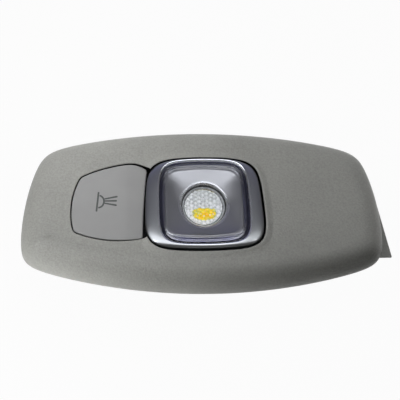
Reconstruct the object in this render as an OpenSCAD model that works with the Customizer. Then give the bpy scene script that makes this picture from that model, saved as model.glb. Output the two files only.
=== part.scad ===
// Interior reading light: a curved bezel with a framed square lamp and a press key beside it.
// It lies face up: x runs along its length, y to its upper edge, z out of the face.
// The origin is the middle of the flat back, straight behind the lamp.

/* [Face] */
// Distance from the lamp's middle to the right end, square to that end
face_right = 75; // [70:0.5:92]
// Distance from the lamp's middle to the left end, square to that end
face_left = 72.8; // [70:0.1:90]
// Distance from the lamp's middle to the upper edge
face_top = 36.7; // [35:0.1:46]
// Distance from the lamp's middle to the lower edge
face_bottom = 35.8; // [35:0.1:45]
// Height of the bezel's rim above the back
rim_z = 16.5; // [16:0.1:20]
// Rise of the face above the rim at the lamp
face_rise = 12.3; // [12:0.1:15]
// Width of the rounded edge, seen from the front
edge_w = 11; // [8:0.5:11]
// Straight skirt below the rounded edge
skirt_h = 1.2; // [0.6:0.1:2]
// Wall of the bezel
bezel_wall = 2.2; // [1.8:0.1:2.6]
// Height of the collar that swells round the lamp
lamp_collar = 0.9; // [0.3:0.1:1.2]
// Height of the collar round the key
key_collar = 0.45; // [0.1:0.05:0.8]
// Width of both collars
collar_w = 3.6; // [2.5:0.1:4]

/* [Lamp] */
// Half width of the trim ring
ring_hw = 24.5; // [23.5:0.1:29.4]
// Half height of the trim ring
ring_hh = 20.7; // [20.3:0.1:21.4]
// How much nearer the ring's upper edge is to the middle than its lower edge
ring_drop = 0.5; // [0:0.1:0.6]
// Half width of the lens
lens_hw = 18.8; // [17:0.1:19.6]
// Half height of the lens
lens_hh = 18.75; // [17:0.05:19]
// Thickness of the lens
lens_t = 1.8; // [1.4:0.1:2.2]
// Width of the band between the lens's edge and the reflector's edge
band_w = 3.1; // [2.4:0.1:3.6]
// Radius of the round hole in the reflector
eye_r = 9.5; // [9.3:0.1:10.5]
// Radius of the beam lens's free edge
optic_r = 9; // [8:0.1:9.1]
// Distance between neighbouring lenslets on the beam lens
lenslet_pitch = 1.85; // [1.6:0.05:2.6]

/* [Key] */
// Gap between the key and the bezel
key_gap = 0.45; // [0.4:0.05:0.8]
// Gap between the key and the trim ring
key_ring_gap = 0.8; // [0.7:0.05:1.5]
// Distance from the key's middle to its left edge
key_left = 15.6; // [14:0.1:18.7]
// Distance from the key's middle to its upper edge, square to it
key_top = 15; // [14:0.1:16]
// Distance from the key's middle to its lower edge, square to it
key_bottom = 16.9; // [16:0.1:17.5]
// Slope of the facet beside the trim ring, in degrees
facet_slope = 8; // [0:0.5:10]
// Angle that the key tips when it is pressed
key_travel = 2.5; // [1.5:0.1:2.6]
// Diameter of the key's pivot pins
pivot_d = 2.8; // [2:0.1:3]

/* [Housing] */
// How far the bezel overhangs the housing at the left end
overhang_x = 12.8; // [12:0.1:16]
// How far the bezel overhangs the housing along its lower edge
overhang_y = 10.8; // [10:0.1:11.5]
// Radius of the housing's corners
housing_r = 12; // [10:0.5:14]
// Wall of the carrier and the back cover
tray_wall = 2; // [1.6:0.1:2.4]
// Thickness of the carrier's deck
deck_t = 1.8; // [1.5:0.1:2.2]
// Height of the joint between the back cover and the carrier
seam_z = 10.4; // [9.5:0.1:10.6]
// Thickness of the back cover's floor
floor_t = 2; // [1.6:0.1:2.4]
// Thickness of the circuit board
board_t = 1.6; // [1:0.1:1.9]
// Distance of a housing screw from the housing's sides
screw_inset = 6.8; // [6.5:0.1:8]
// Thread diameter of the housing screws
screw_d = 2.9; // [2.5:0.1:3]
// Diameter of the bezel's locating pins
locator_d = 4; // [3:0.1:4.8]

/* [Connector and clips] */
// Outer width of the connector
plug_w = 12; // [11:0.1:14.4]
// Outer height of the connector
plug_h = 7.2; // [7:0.1:7.4]
// Width of a spring clip
clip_w = 12; // [8:0.5:14.5]
// Thickness of the clip strip
clip_t = 0.6; // [0.4:0.1:0.8]

/* [Hidden] */

GREY = "#8f8f88";
KEY_GREY = "#979794";
CHROME = "#7d808a";
BLACK = "#232325";

// Number of points round each moulded outline
ROUND = 64;
// Angle between the points of the opening round the ring; at this value no point falls on the notch
SHELL_STEP = 5.1;
// Overlap that makes two touching solids one
weld = 0.01;
function round_angles(n) = [for (i = [0 : n - 1]) 360 * i / n];

// Levels, from the back to the front
lamp_z = rim_z + face_rise;
deck_z = rim_z + 2;
deck_under = deck_z - deck_t;
board_z = deck_under - 2.7;
board_under = board_z - board_t;
seat_z = lamp_z - 4.2;
flange_t = 0.8;
lens_flange_z = seat_z + flange_t;
ring_seat_z = lens_flange_z + flange_t;
lens_z = lamp_z + 1;
pan_z = lens_z - lens_t - 0.6;
ring_crest_z = lamp_z + 1.5;
collar_wall_z = seat_z + 0.4;
optic_seat_z = deck_z + 3.7;
key_z = lamp_z - 0.4;

// The outline of the whole face: four shallow arcs that run into each other at the corners.
// Each arc is its direction, its distance from the middle and its radius.
FACE = [[89.5, face_top, 268], [269.1, face_bottom, 237], [25, face_right, 100], [149.3, face_left, 100]];
FACE_SHARP = 20;
RING = [[90, ring_hh - ring_drop, 173], [270, ring_hh, 173], [3.2, ring_hw, 900], [176.8, ring_hw, 900]];
RING_SHARP = 5.7;
LENS = [[90, lens_hh, 148], [270, lens_hh, 148], [1.3, lens_hw, 185], [178.7, lens_hw, 185]];
LENS_SHARP = 6.8;
LENS_MIDDLE = [0, 0.1];
PAN = [
    [90, lens_hh - band_w - 0.5, 110], [270, lens_hh - band_w - 0.5, 110],
    [1, lens_hw - band_w + 0.1, 900], [179, lens_hw - band_w + 0.1, 900]
];
PAN_SHARP = 9;
PAN_MIDDLE = [0, 0.7];
EYE_MIDDLE = [0.2, 0.4];
KEY_RIGHT = 13.85;
KEY = [[165, key_left, 35], [108.4, key_top, 64], [74, key_top + 4.7, 60],
       [-4.6, KEY_RIGHT, -280], [262.7, key_bottom, 46]];
KEY_SHARP = 35;
KEY_MIDDLE = [-ring_hw - key_ring_gap - KEY_RIGHT + 0.15, 1];

// Reach from the middle to one arc along the unit vector u; a negative radius is a hollow arc.
function arc_reach(u, side) =
    let (n = [cos(side[0]), sin(side[0])], c = (side[1] - side[2]) * n, b = u * c,
         q = b * b - c * c + side[2] * side[2])
    side[2] > 0 ? b + sqrt(max(q, 0)) : q > 0 ? b - sqrt(q) : 1e5;
function total(v, i = 0) = i < len(v) - 1 ? v[i] + total(v, i + 1) : v[i];
function reach(u, sides, sharp) =
    pow(total([for (s = sides) pow(arc_reach(u, s), -sharp)]), -1 / sharp);
function ray(a) = [cos(a), sin(a)];
function grown(sides, g) = [for (s = sides) [s[0], s[1] + g, s[2] + g]];
function rim_point(a, sides, sharp, middle = [0, 0]) = middle + reach(ray(a), sides, sharp) * ray(a);
function loop(sides, sharp, middle = [0, 0], g = 0, n = ROUND) =
    [for (a = round_angles(n)) rim_point(a, grown(sides, g), sharp, middle)];
function at_height(points, z) = [for (p = points) [p[0], p[1], z]];
function circle_loop(middle, r, n = ROUND) = [for (a = round_angles(n)) middle + r * ray(a)];
function mix(a, b, t) = [for (i = [0 : len(a) - 1]) a[i] * (1 - t) + b[i] * t];
function smooth(t) = t <= 0 ? 0 : t >= 1 ? 1 : t * t * (3 - 2 * t);
// How far a point lies outside an outline, measured along its ray
function outside(p, sides, sharp, middle) =
    let (d = p - middle, r = norm(d)) r - reach(d / r, sides, sharp);

// A closed skin over rings of points. Rings run anticlockwise, seen from above.
// With lids, fans close the first and last ring; without, the last ring joins the first.
module skin(rings, lids = false) {
    n = len(rings[0]);
    m = len(rings);
    points = [for (r = rings) for (p = r) p];
    sides = [for (j = [0 : lids ? m - 2 : m - 1]) for (i = [0 : n - 1])
        let (a = j * n + i, b = j * n + (i + 1) % n,
             c = (j + 1) % m * n + (i + 1) % n, d = (j + 1) % m * n + i)
        each [[a, d, b], [b, d, c]]];
    ends = !lids ? [] : [for (i = [0 : n - 1]) let (k = (i + 1) % n, o = (m - 1) * n)
        each [[m * n, i, k], [m * n + 1, o + k, o + i]]];
    poles = !lids ? [] : [total(rings[0]) / n, total(rings[m - 1]) / n];
    polyhedron(concat(points, poles), concat(sides, ends), convexity = 8);
}

// Bezel

// Crowned height of the face, before its edge rounds down
function crown(p) = face_rise - p[0] * p[0] / 4400 - p[1] * p[1] / 1400;
function swell(e) = e <= 0 ? 1 : e >= collar_w ? 0 : (1 + cos(180 * e / collar_w)) / 2;
function collar(p) =
    let (a = lamp_collar * swell(outside(p, RING_GAP, RING_SHARP, [0, 0])),
         b = key_collar * swell(outside(p, KEY, KEY_SHARP, KEY_MIDDLE)))
    sqrt(a * a + b * b);
function face_z(p) = rim_z + crown(p) + collar(p);

// The opening: the ring's outline and the key's, each with its gap, joined where they meet.
// The key's right side is pushed in under the ring, so that no rib is left between the two.
// The gap under the ring is wider than the one above it.
RING_EXTRA_GAP = [0, 0.65, 0.3, 0];
RING_GAP = [for (i = [0 : 3]) RING[i] + (key_gap + RING_EXTRA_GAP[i]) * [0, 1, 1]];
KEY_UNDER_RING = 0.6;
KEY_GAP = [for (s = grown(KEY, key_gap)) s[2] < 0 ? s + [0, key_ring_gap + KEY_UNDER_RING, 0] : s];
opening = concat(
    [for (a = [-165 : SHELL_STEP : 165])
        let (p = rim_point(a, RING_GAP, RING_SHARP))
        if (outside(p, KEY_GAP, KEY_SHARP, KEY_MIDDLE) > 0) p],
    [for (a = [40 : SHELL_STEP * 1.4 : 330])
        let (p = rim_point(a, KEY_GAP, KEY_SHARP, KEY_MIDDLE))
        if (outside(p, RING_GAP, RING_SHARP, [0, 0]) > 0) p]);
opening_middle = [(KEY_MIDDLE[0] - key_left + ring_hw) / 2, 0];
opening_hw = (ring_hw - KEY_MIDDLE[0] + key_left) / 2;
// The direction on the face's outline that partners each point of the opening
partner = [for (p = opening)
    atan2((p[1] - opening_middle[1]) * (face_top + face_bottom) / 2 / ring_hh,
          (p[0] - opening_middle[0]) * (face_left + face_right) / 2 / opening_hw)];
edge = [for (a = partner) rim_point(a, FACE, FACE_SHARP)];
edge_normal = [for (a = partner)
    let (t = rim_point(a + 0.5, FACE, FACE_SHARP) - rim_point(a - 0.5, FACE, FACE_SHARP))
    [t[1], -t[0]] / norm(t)];
function inset(d) = [for (i = [0 : len(edge) - 1]) edge[i] - edge_normal[i] * d];
// The rounded edge at angle a, for the outer skin or, thinner by the wall, the inner one
function edge_ring(a, t = 0) =
    [for (p = inset(t + (edge_w - t * 0.4) * (1 - cos(a))))
        [p[0], p[1], rim_z + (crown(p) - t) * sin(a)]];
plateau = inset(edge_w);
inner_plateau = inset(edge_w + bezel_wall * 0.6);
// Points e outside the opening, measured toward the edge of the face
function beside(e) = [for (i = [0 : len(opening) - 1])
    let (d = plateau[i] - opening[i]) opening[i] + d * e / max(norm(d), collar_w + 0.8)];
function on_face(points, drop = 0) = [for (p = points) [p[0], p[1], face_z(p) - drop]];

opening_wall = 1.5;
bezel_rings = concat(
    [at_height(edge, rim_z - skirt_h)],
    [for (a = [0, 12, 25, 38, 51, 64, 77, 90]) edge_ring(a)],
    [for (t = [0.35, 0.7]) on_face(mix(plateau, beside(collar_w), t))],
    [for (e = [1, 0.75, 0.5, 0.25]) on_face(beside(e * collar_w))],
    [on_face(beside(0.4)), on_face(beside(0.12), 0.12), on_face(opening, 0.4)],
    [at_height(opening, collar_wall_z), at_height(beside(opening_wall), collar_wall_z)],
    [on_face(beside(opening_wall), bezel_wall)],
    [on_face(mix(inner_plateau, beside(collar_w), 0.5), bezel_wall)],
    [for (a = [90, 66, 44, 22, 0]) edge_ring(a, bezel_wall)],
    [at_height(inset(bezel_wall), rim_z - skirt_h)]);

// Screw bosses and locating pins behind the face
tray_hx = face_left - overhang_x;
tray_hy = face_bottom - overhang_y;
screw_x = tray_hx - screw_inset;
screw_y = tray_hy - screw_inset;
boss_r = screw_d / 2 + 1.7;
boss_top = rim_z + crown([screw_x, screw_y]) - 1;
locator_x = tray_hx + 5.6;
locator_l = 4;
locator_z = rim_z - skirt_h - 3.5;
stem_d = locator_d + 2.4;
stem_z = locator_z + locator_l;
stem_top = rim_z + crown([locator_x, 0]) - 2;
rib_t = 1.2;
rib_reach = 8;
module at_screws() {
    for (x = [-screw_x, screw_x], y = [-screw_y, screw_y]) translate([x, y, 0]) children();
}

// A flat tab that runs out from the rim at the right end and ends in a square corner
fin_t = 1.2;
fin_reach = 6.3;
fin_angles = [5, -16.5];
function fin_root(a, d) = rim_point(a, FACE, FACE_SHARP) + [d, 0];
module fin() {
    translate([0, 0, rim_z - skirt_h]) linear_extrude(fin_t)
        polygon([fin_root(fin_angles[0], 0.6), fin_root(fin_angles[0], -0.8), fin_root(-5, -1),
                 fin_root(fin_angles[1], -1), fin_root(fin_angles[1], fin_reach)]);
}
// A locating pin on its stem, with a rib to each side that stiffens the end of the face
module locator() {
    translate([0, 0, locator_z]) cylinder(d = locator_d, h = locator_l + 1, $fn = 48);
    translate([0, 0, stem_z]) cylinder(d = stem_d, h = stem_top - stem_z, $fn = 48);
    rotate([90, 0, 90]) linear_extrude(rib_t, center = true) polygon([
        [-stem_d / 2 + 1, stem_z + 1], [stem_d / 2 - 1, stem_z + 1], [rib_reach, stem_top - 2.5],
        [rib_reach, stem_top], [-rib_reach, stem_top], [-rib_reach, stem_top - 2.5]]);
}
module bezel() {
    color(GREY) difference() {
        union() {
            skin(bezel_rings);
            fin();
            at_screws() translate([0, 0, deck_z]) cylinder(r = boss_r, h = boss_top - deck_z, $fn = 48);
            for (x = [-locator_x, locator_x]) translate([x, 0, 0]) locator();
        }
        at_screws() translate([0, 0, deck_z - 1])
            cylinder(d = screw_d + 0.1, h = boss_top - deck_z, $fn = 48);
    }
}

// Trim ring: a crowned band, wide at the sides, on four snap legs
lens_gap = 0.15;
crest_t = 0.72;
ring_edge_z = lamp_z + 0.1;
leg_x = ring_hw - 2.3;
leg_y = 8;
leg_t = 1.3;
leg_w = 4;
function crest(t) =
    t < crest_t ? sqrt(1 - pow(1 - t / crest_t, 2)) : 1 - 0.28 * pow((t - crest_t) / (1 - crest_t), 2);
module trim_ring() {
    outer = loop(RING, RING_SHARP);
    inner = loop(LENS, LENS_SHARP, LENS_MIDDLE, lens_gap);
    color(CHROME) union() {
        skin(concat(
            [at_height(outer, ring_seat_z)],
            [for (t = [0, 0.03, 0.12, 0.26, 0.45, crest_t, 0.88, 1])
                at_height(mix(outer, inner, t), ring_edge_z + (ring_crest_z - ring_edge_z) * crest(t))],
            [at_height(inner, ring_seat_z)]));
        for (m = [0, 1], y = [-leg_y, leg_y]) mirror([m, 0, 0])
            translate([leg_x, y + leg_w / 2, 0]) rotate([90, 0, 0]) linear_extrude(leg_w) polygon([
                [-leg_t / 2, ring_seat_z + 0.3], [-leg_t / 2, deck_under - 1.4], [0, deck_under - 1.4],
                [leg_t / 2 + 0.7, deck_under - 0.5], [leg_t / 2 + 0.7, deck_under - 0.1],
                [leg_t / 2, deck_under - 0.1], [leg_t / 2, ring_seat_z + 0.3]]);
    }
}

// Lens: a clear domed cap whose foot is clamped under the ring
dome = 0.3;
lens_wall = 1.2;
foot_w = 0.9;
module lens() {
    function cap(f, z) = at_height(mix([for (p = loop(LENS, LENS_SHARP, LENS_MIDDLE)) LENS_MIDDLE],
                                       loop(LENS, LENS_SHARP, LENS_MIDDLE, f < 1 ? -0.4 : 0), min(f, 1)),
                                   z + dome * (1 - f * f));
    wall = loop(LENS, LENS_SHARP, LENS_MIDDLE, -lens_wall);
    edge = loop(LENS, LENS_SHARP, LENS_MIDDLE);
    foot = loop(LENS, LENS_SHARP, LENS_MIDDLE, foot_w);
    color([0.75, 0.78, 0.9, 0.5]) skin(concat(
        [for (f = [0.3, 0.65]) cap(f, lens_z - dome - lens_t)],
        [at_height(wall, lens_z - dome - lens_t), at_height(wall, lens_flange_z)],
        [at_height(foot, lens_flange_z), at_height(foot, ring_seat_z)],
        [at_height(edge, ring_seat_z), at_height(edge, lens_z - dome - 0.4)],
        [at_height(loop(LENS, LENS_SHARP, LENS_MIDDLE, -0.12), lens_z - dome - 0.12)],
        [for (f = [0.97, 0.65, 0.3]) cap(f, lens_z - dome)]), lids = true);
}

// Reflector: a square funnel that closes on the round eye, with a foot under the lens's foot
eye_z = pan_z - 2.3;
eye_bottom_z = optic_seat_z + 1;
eye_round = 1.2;
module reflector() {
    function pan(g) = loop(PAN, PAN_SHARP, PAN_MIDDLE, g);
    function eye(r) = circle_loop(EYE_MIDDLE, r);
    rim = pan(0);
    mouth = eye(eye_r + eye_round);
    foot = loop(LENS, LENS_SHARP, LENS_MIDDLE, foot_w);
    color("#a6a7ab") skin(concat(
        [at_height(foot, seat_z), at_height(foot, lens_flange_z)],
        [at_height(pan(0.9), lens_flange_z), at_height(pan(0.8), pan_z - 0.3)],
        [at_height(pan(0.5), pan_z), at_height(rim, pan_z - 0.1)],
        [for (t = [0.25, 0.6])
            at_height(mix(rim, mouth, t), pan_z - (pan_z - eye_z) * (1.15 * t - 0.15 * t * t))],
        [for (a = [0, 35, 65, 90])
            at_height(eye(eye_r + eye_round * (1 - sin(a))), eye_z - eye_round * (1 - cos(a)))],
        [at_height(eye(eye_r), eye_bottom_z), at_height(eye(eye_r + 0.9), eye_bottom_z)],
        [at_height(pan(-1), pan_z - 1.5), at_height(pan(-0.4), seat_z)]));
}

// Beam lens: a cone that gathers the light, a free edge and a front of small hexagonal lenses
optic_foot_z = board_z + 1.9;
optic_front_z = optic_seat_z + 0.9;
front_r = optic_r - 1.05;
cone_r = optic_r - 0.9;
cone_foot_r = 3.5;
pocket_r = 2.7;
pocket_h = 3;
lenslet_h = 0.42;
lenslet_root = 0.4;
// A square sheet of lenslets: a fine staggered grid whose points include every lenslet's middle and corners
grid = lenslet_pitch / sqrt(12);
row = grid * sqrt(3) / 2;
rows = ceil(front_r / row) + 1;
columns = ceil(front_r / grid) + 1;
function grid_point(i, k) = [(i + (k % 2 == 0 ? 0 : 0.5)) * grid, k * row];
function lenslet_middle(m, n) = [3 * grid * m, 2 * row * (m + 2 * n)];
function lenslet_height(p) =
    let (m = round(p[0] / grid / 3),
         d = min([for (k = [m - 1 : m + 1]) norm(p - lenslet_middle(k, round((p[1] / row / 2 - k) / 2)))]))
    lenslet_h * (1 - pow(d / grid / 2, 2));
module lenslets() {
    n = 2 * columns + 1;
    top = [for (k = [-rows : rows]) for (i = [-columns : columns])
        let (p = grid_point(i, k)) [p[0], p[1], lenslet_height(p)]];
    o = len(top);
    cells = [for (k = [0 : 2 * rows - 1]) for (i = [0 : n - 2])
        let (a = k * n + i, b = a + 1, c = a + n, d = c + 1)
        each (k + rows) % 2 == 0 ? [[a, c, b], [b, c, d]] : [[a, d, b], [a, c, d]]];
    border = concat([for (i = [0 : n - 2]) i], [for (k = [0 : 2 * rows - 1]) k * n + n - 1],
                    [for (i = [n - 1 : -1 : 1]) 2 * rows * n + i], [for (k = [2 * rows : -1 : 1]) k * n]);
    m = len(border);
    polyhedron(concat(top, [for (b = border) [top[b][0], top[b][1], -lenslet_root]], [[0, 0, -lenslet_root]]),
        concat(cells, [for (i = [0 : m - 1]) let (j = (i + 1) % m)
            each [[border[i], border[j], o + i], [border[j], o + j, o + i], [o + i, o + j, o + m]]]),
        convexity = 8);
}
module beam_lens() {
    color([0.8, 0.85, 0.82, 0.7]) translate(EYE_MIDDLE) union() {
        rotate_extrude($fn = 96) polygon(concat(
            [[0, optic_foot_z + pocket_h], [pocket_r - 0.3, optic_foot_z + pocket_h]],
            [[pocket_r, optic_foot_z]],
            [for (t = [0 : 0.2 : 1])
                [cone_foot_r + (cone_r - cone_foot_r) * (1.3 * t - 0.3 * t * t),
                 optic_foot_z + (optic_seat_z - optic_foot_z) * t]],
            [[optic_r, optic_seat_z], [optic_r, optic_front_z], [0, optic_front_z]]));
        intersection() {
            translate([0, 0, optic_front_z]) lenslets();
            translate([0, 0, optic_front_z - 1]) cylinder(r = front_r, h = 3, $fn = 96);
        }
    }
}

// Press key: a hollow cap with a sloping facet beside the ring, two pivot pins and a press post
pivot = [KEY_MIDDLE[0] + 10.6, lamp_z - 6.6];
post_place = KEY_MIDDLE + [-4, 0];
// The key's foot clears the deck by a little when the key is pressed all the way
key_foot_z = deck_z + 0.857 + (pivot[0] - KEY_MIDDLE[0] + key_left) * sin(key_travel);
key_wall = 1.4;
plunger_top = key_foot_z + 1.5;
press_gap = 0.3;
function crease_x(y) = KEY_MIDDLE[0] + 7 + 0.057 * (y - KEY_MIDDLE[1]);
function key_drop(p) =
    let (s = p[0] - crease_x(p[1])) tan(facet_slope) * (s + sqrt(s * s + 1.4)) / 2;
function key_top_z(p, drop) = key_z - key_drop(p) - drop;
function key_rim_y(a) = rim_point(a, KEY, KEY_SHARP, KEY_MIDDLE)[1];
upper_pin_y = [key_rim_y(57) - 1.2, key_rim_y(65) + 0.35];
lower_pin_y = [key_rim_y(-57) + 1.2, key_rim_y(-65) - 0.35];
bearing_t = 2.2;
module along_y(from, to, r) {
    translate([pivot[0], min(from, to), pivot[1]]) rotate([-90, 0, 0])
        cylinder(r = r, h = abs(to - from), $fn = 48);
}
module press_key() {
    function edge(g, drop) =
        [for (p = loop(KEY, KEY_SHARP, KEY_MIDDLE, g)) [p[0], p[1], key_top_z(p, drop)]];
    function field(g, f, drop) =
        [for (q = loop(KEY, KEY_SHARP, KEY_MIDDLE, g))
            let (p = KEY_MIDDLE + (q - KEY_MIDDLE) * f) [p[0], p[1], key_top_z(p, drop)]];
    foot = at_height(loop(KEY, KEY_SHARP, KEY_MIDDLE, -0.25), key_foot_z);
    inner_foot = at_height(loop(KEY, KEY_SHARP, KEY_MIDDLE, -0.25 - key_wall), key_foot_z);
    color(KEY_GREY) union() {
        skin(concat(
            [for (f = [0.3, 0.7, 1]) field(-key_wall, f, key_wall + 0.4)],
            [inner_foot, foot, edge(0, 1), edge(-0.1, 0.4), edge(-0.35, 0.1)],
            [for (f = [1, 0.8, 0.6, 0.4, 0.2]) field(-0.8, f, 0)]), lids = true);
        translate([post_place[0], post_place[1], plunger_top + press_gap])
            cylinder(r = 2.4, h = key_z - key_wall - plunger_top - press_gap, $fn = 48);
        along_y(upper_pin_y[0], upper_pin_y[1] + bearing_t, pivot_d / 2);
        along_y(lower_pin_y[0], lower_pin_y[1] - bearing_t, pivot_d / 2);
    }
}

// Carrier: the black frame behind the bezel that holds the optics, the key and the board
board_screws_at = [[-18, 17.2], [-18, -17.2], [36, 0]];
pivot_play = 0.05;
bearing_r = 2.4;
board_post_r = 2.8;
module rounded(hx, hy, r) {
    square([2 * hx, 2 * (hy - r)], center = true);
    square([2 * (hx - r), 2 * hy], center = true);
    for (x = [r - hx, hx - r], y = [r - hy, hy - r]) translate([x, y]) circle(r, $fn = 64);
}
module tray_wall_between(low, high) {
    translate([0, 0, low]) linear_extrude(high - low) difference() {
        rounded(tray_hx, tray_hy, housing_r);
        rounded(tray_hx - tray_wall, tray_hy - tray_wall, housing_r - tray_wall);
    }
}
module bearing(y) {
    translate([pivot[0] - bearing_r, y, deck_z]) cube([2 * bearing_r, bearing_t, pivot[1] - deck_z]);
    along_y(y, y + bearing_t, bearing_r);
}
module plug_space(margin, x0, x1) {
    translate([x0, -plug_w / 2 - margin, board_under - plug_h - margin])
        cube([x1 - x0, plug_w + 2 * margin, plug_h + 2 * margin]);
}
module carrier() {
    color(BLACK) difference() {
        union() {
            tray_wall_between(seam_z, deck_under + weld);
            translate([0, 0, deck_under]) linear_extrude(deck_t) rounded(tray_hx, tray_hy, housing_r);
            translate([0, 0, deck_z]) linear_extrude(seat_z - deck_z) difference() {
                polygon(loop(LENS, LENS_SHARP, LENS_MIDDLE, 1));
                polygon(loop(LENS, LENS_SHARP, LENS_MIDDLE, -1));
            }
            translate([EYE_MIDDLE[0], EYE_MIDDLE[1], deck_under])
                cylinder(r = optic_r + 1.5, h = optic_seat_z - deck_under, $fn = 96);
            at_screws() translate([0, 0, seam_z]) cylinder(r = boss_r, h = deck_z - seam_z, $fn = 48);
            for (p = board_screws_at) translate([p[0], p[1], board_z])
                cylinder(r = board_post_r, h = deck_z - board_z, $fn = 48);
            bearing(upper_pin_y[1]);
            bearing(lower_pin_y[1] - bearing_t);
        }
        translate([EYE_MIDDLE[0], EYE_MIDDLE[1], deck_under - 1])
            cylinder(r = cone_r + 0.25, h = 20, $fn = 96);
        at_screws() translate([0, 0, seam_z - 1]) cylinder(d = screw_d + 0.4, h = 20, $fn = 48);
        for (p = board_screws_at) translate([p[0], p[1], board_z - 1])
            cylinder(d = board_screw_d + 0.1, h = deck_z - board_z, $fn = 32);
        along_y(upper_pin_y[1] - 1, upper_pin_y[1] + bearing_t + 1, pivot_d / 2 + pivot_play);
        along_y(lower_pin_y[1] + 1, lower_pin_y[1] - bearing_t - 1, pivot_d / 2 + pivot_play);
        for (x = [-leg_x, leg_x], y = [-leg_y, leg_y]) translate([x + sign(x) * 0.5, y, deck_z])
            cube([leg_t + 1.8, leg_w + 0.6, 3 * deck_t], center = true);
        translate([post_place[0], post_place[1], deck_z])
            cube([switch_w + 1, switch_w + 1, 3 * deck_t], center = true);
        plug_space(0.3, tray_hx - 4, tray_hx + 4);
    }
}

// Back cover: a shallow tub with a locating lip, screw posts, vents and a seat for each clip
lip_t = 1;
lip_h = 1.6;
head_sink = 2.4;
head_r = 2.7;
vent_n = 6;
peg_z = 6.4;
peg_r = 1.2;
module back_cover() {
    color(BLACK) difference() {
        union() {
            linear_extrude(floor_t) rounded(tray_hx, tray_hy, housing_r);
            tray_wall_between(floor_t - weld, seam_z);
            difference() {
                translate([0, 0, seam_z - 1]) linear_extrude(lip_h + 1) difference() {
                    rounded(tray_hx - tray_wall - 0.2, tray_hy - tray_wall - 0.2, housing_r - tray_wall - 0.2);
                    rounded(tray_hx - tray_wall - 0.2 - lip_t, tray_hy - tray_wall - 0.2 - lip_t,
                            housing_r - tray_wall - 0.2 - lip_t);
                }
                at_screws() translate([0, 0, seam_z]) cylinder(r = boss_r + 0.3, h = lip_h + 1, $fn = 48);
            }
            translate([0, 0, seam_z - 1]) linear_extrude(1) difference() {
                rounded(tray_hx - 1, tray_hy - 1, housing_r - 1);
                rounded(tray_hx - tray_wall - 0.2 - lip_t, tray_hy - tray_wall - 0.2 - lip_t,
                        housing_r - tray_wall - 0.2 - lip_t);
            }
            at_screws() cylinder(r = boss_r, h = seam_z, $fn = 48);
            for (m = [0, 1]) mirror([0, m, 0]) clip_seat();
        }
        at_screws() translate([0, 0, -1]) cylinder(d = screw_d + 0.4, h = 20, $fn = 48);
        at_screws() translate([0, 0, -1]) cylinder(r = head_r + 0.15, h = head_sink + 1, $fn = 48);
        for (i = [0 : vent_n - 1]) translate([(i - (vent_n - 1) / 2) * 5, 0, 0])
            cube([2, 16, 3 * floor_t], center = true);
        plug_space(0.3, tray_hx - 16, tray_hx + 4);
    }
}
module clip_seat() {
    translate([0, tray_hy - 0.5, peg_z]) rotate([-90, 0, 0])
        cylinder(r = peg_r, h = 0.5 + clip_t + 0.7, $fn = 32);
    for (x = [-1, 1]) translate([x * (clip_w / 2 + 0.9) - 0.6, tray_hy - 0.5, floor_t])
        cube([1.2, 0.5 + clip_t + 0.5, seam_z - floor_t - 1]);
}

// Spring clips: bent strips that grip the edge of the hole in the roof lining
function turned(v, a) = [v[0] * cos(a) - v[1] * sin(a), v[0] * sin(a) + v[1] * cos(a)];
// The arc of radius r that rounds the corner at b between a and c
function bend(a, b, c, r) =
    let (u = (a - b) / norm(a - b), v = (c - b) / norm(c - b), half = acos(u * v) / 2,
         centre = b + (u + v) / norm(u + v) * r / sin(half),
         start = b + u * r / tan(half) - centre, turn = 180 - 2 * half,
         way = (u[0] * v[1] - u[1] * v[0]) > 0 ? -1 : 1)
    [for (k = [0 : 6]) centre + turned(start, way * turn * k / 6)];
function side_of(path, d) = [for (i = [0 : len(path) - 1])
    let (t = path[min(i + 1, len(path) - 1)] - path[max(i - 1, 0)]) path[i] + [-t[1], t[0]] / norm(t) * d];
function reversed(v) = [for (i = [len(v) - 1 : -1 : 0]) v[i]];
clip_lie = tray_hy + clip_t / 2 + 0.02;
clip_top = [clip_lie, seam_z - 1];
clip_foot = [clip_lie, 1.4];
clip_turn = [clip_lie + 2.4, 1.4];
clip_bulge = [clip_lie + 5.6, rim_z - skirt_h - 4.3];
clip_tip = [clip_lie + 3, rim_z - skirt_h - 1.5];
clip_path = concat([clip_top], bend(clip_top, clip_foot, clip_turn, 1.1),
                   bend(clip_foot, clip_turn, clip_bulge, 1.1), bend(clip_turn, clip_bulge, clip_tip, 1.2),
                   [clip_tip]);
module spring_clip() {
    color("#b9bcc0") difference() {
        translate([-clip_w / 2, 0, 0]) rotate([90, 0, 90]) linear_extrude(clip_w)
            polygon(concat(side_of(clip_path, clip_t / 2), reversed(side_of(clip_path, -clip_t / 2))));
        translate([0, tray_hy - 1, peg_z]) rotate([-90, 0, 0]) cylinder(r = peg_r + 0.1, h = 2.5, $fn = 32);
    }
}
module spring_clip_upper() { spring_clip(); }
module spring_clip_lower() { mirror([0, 1, 0]) spring_clip(); }

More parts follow.
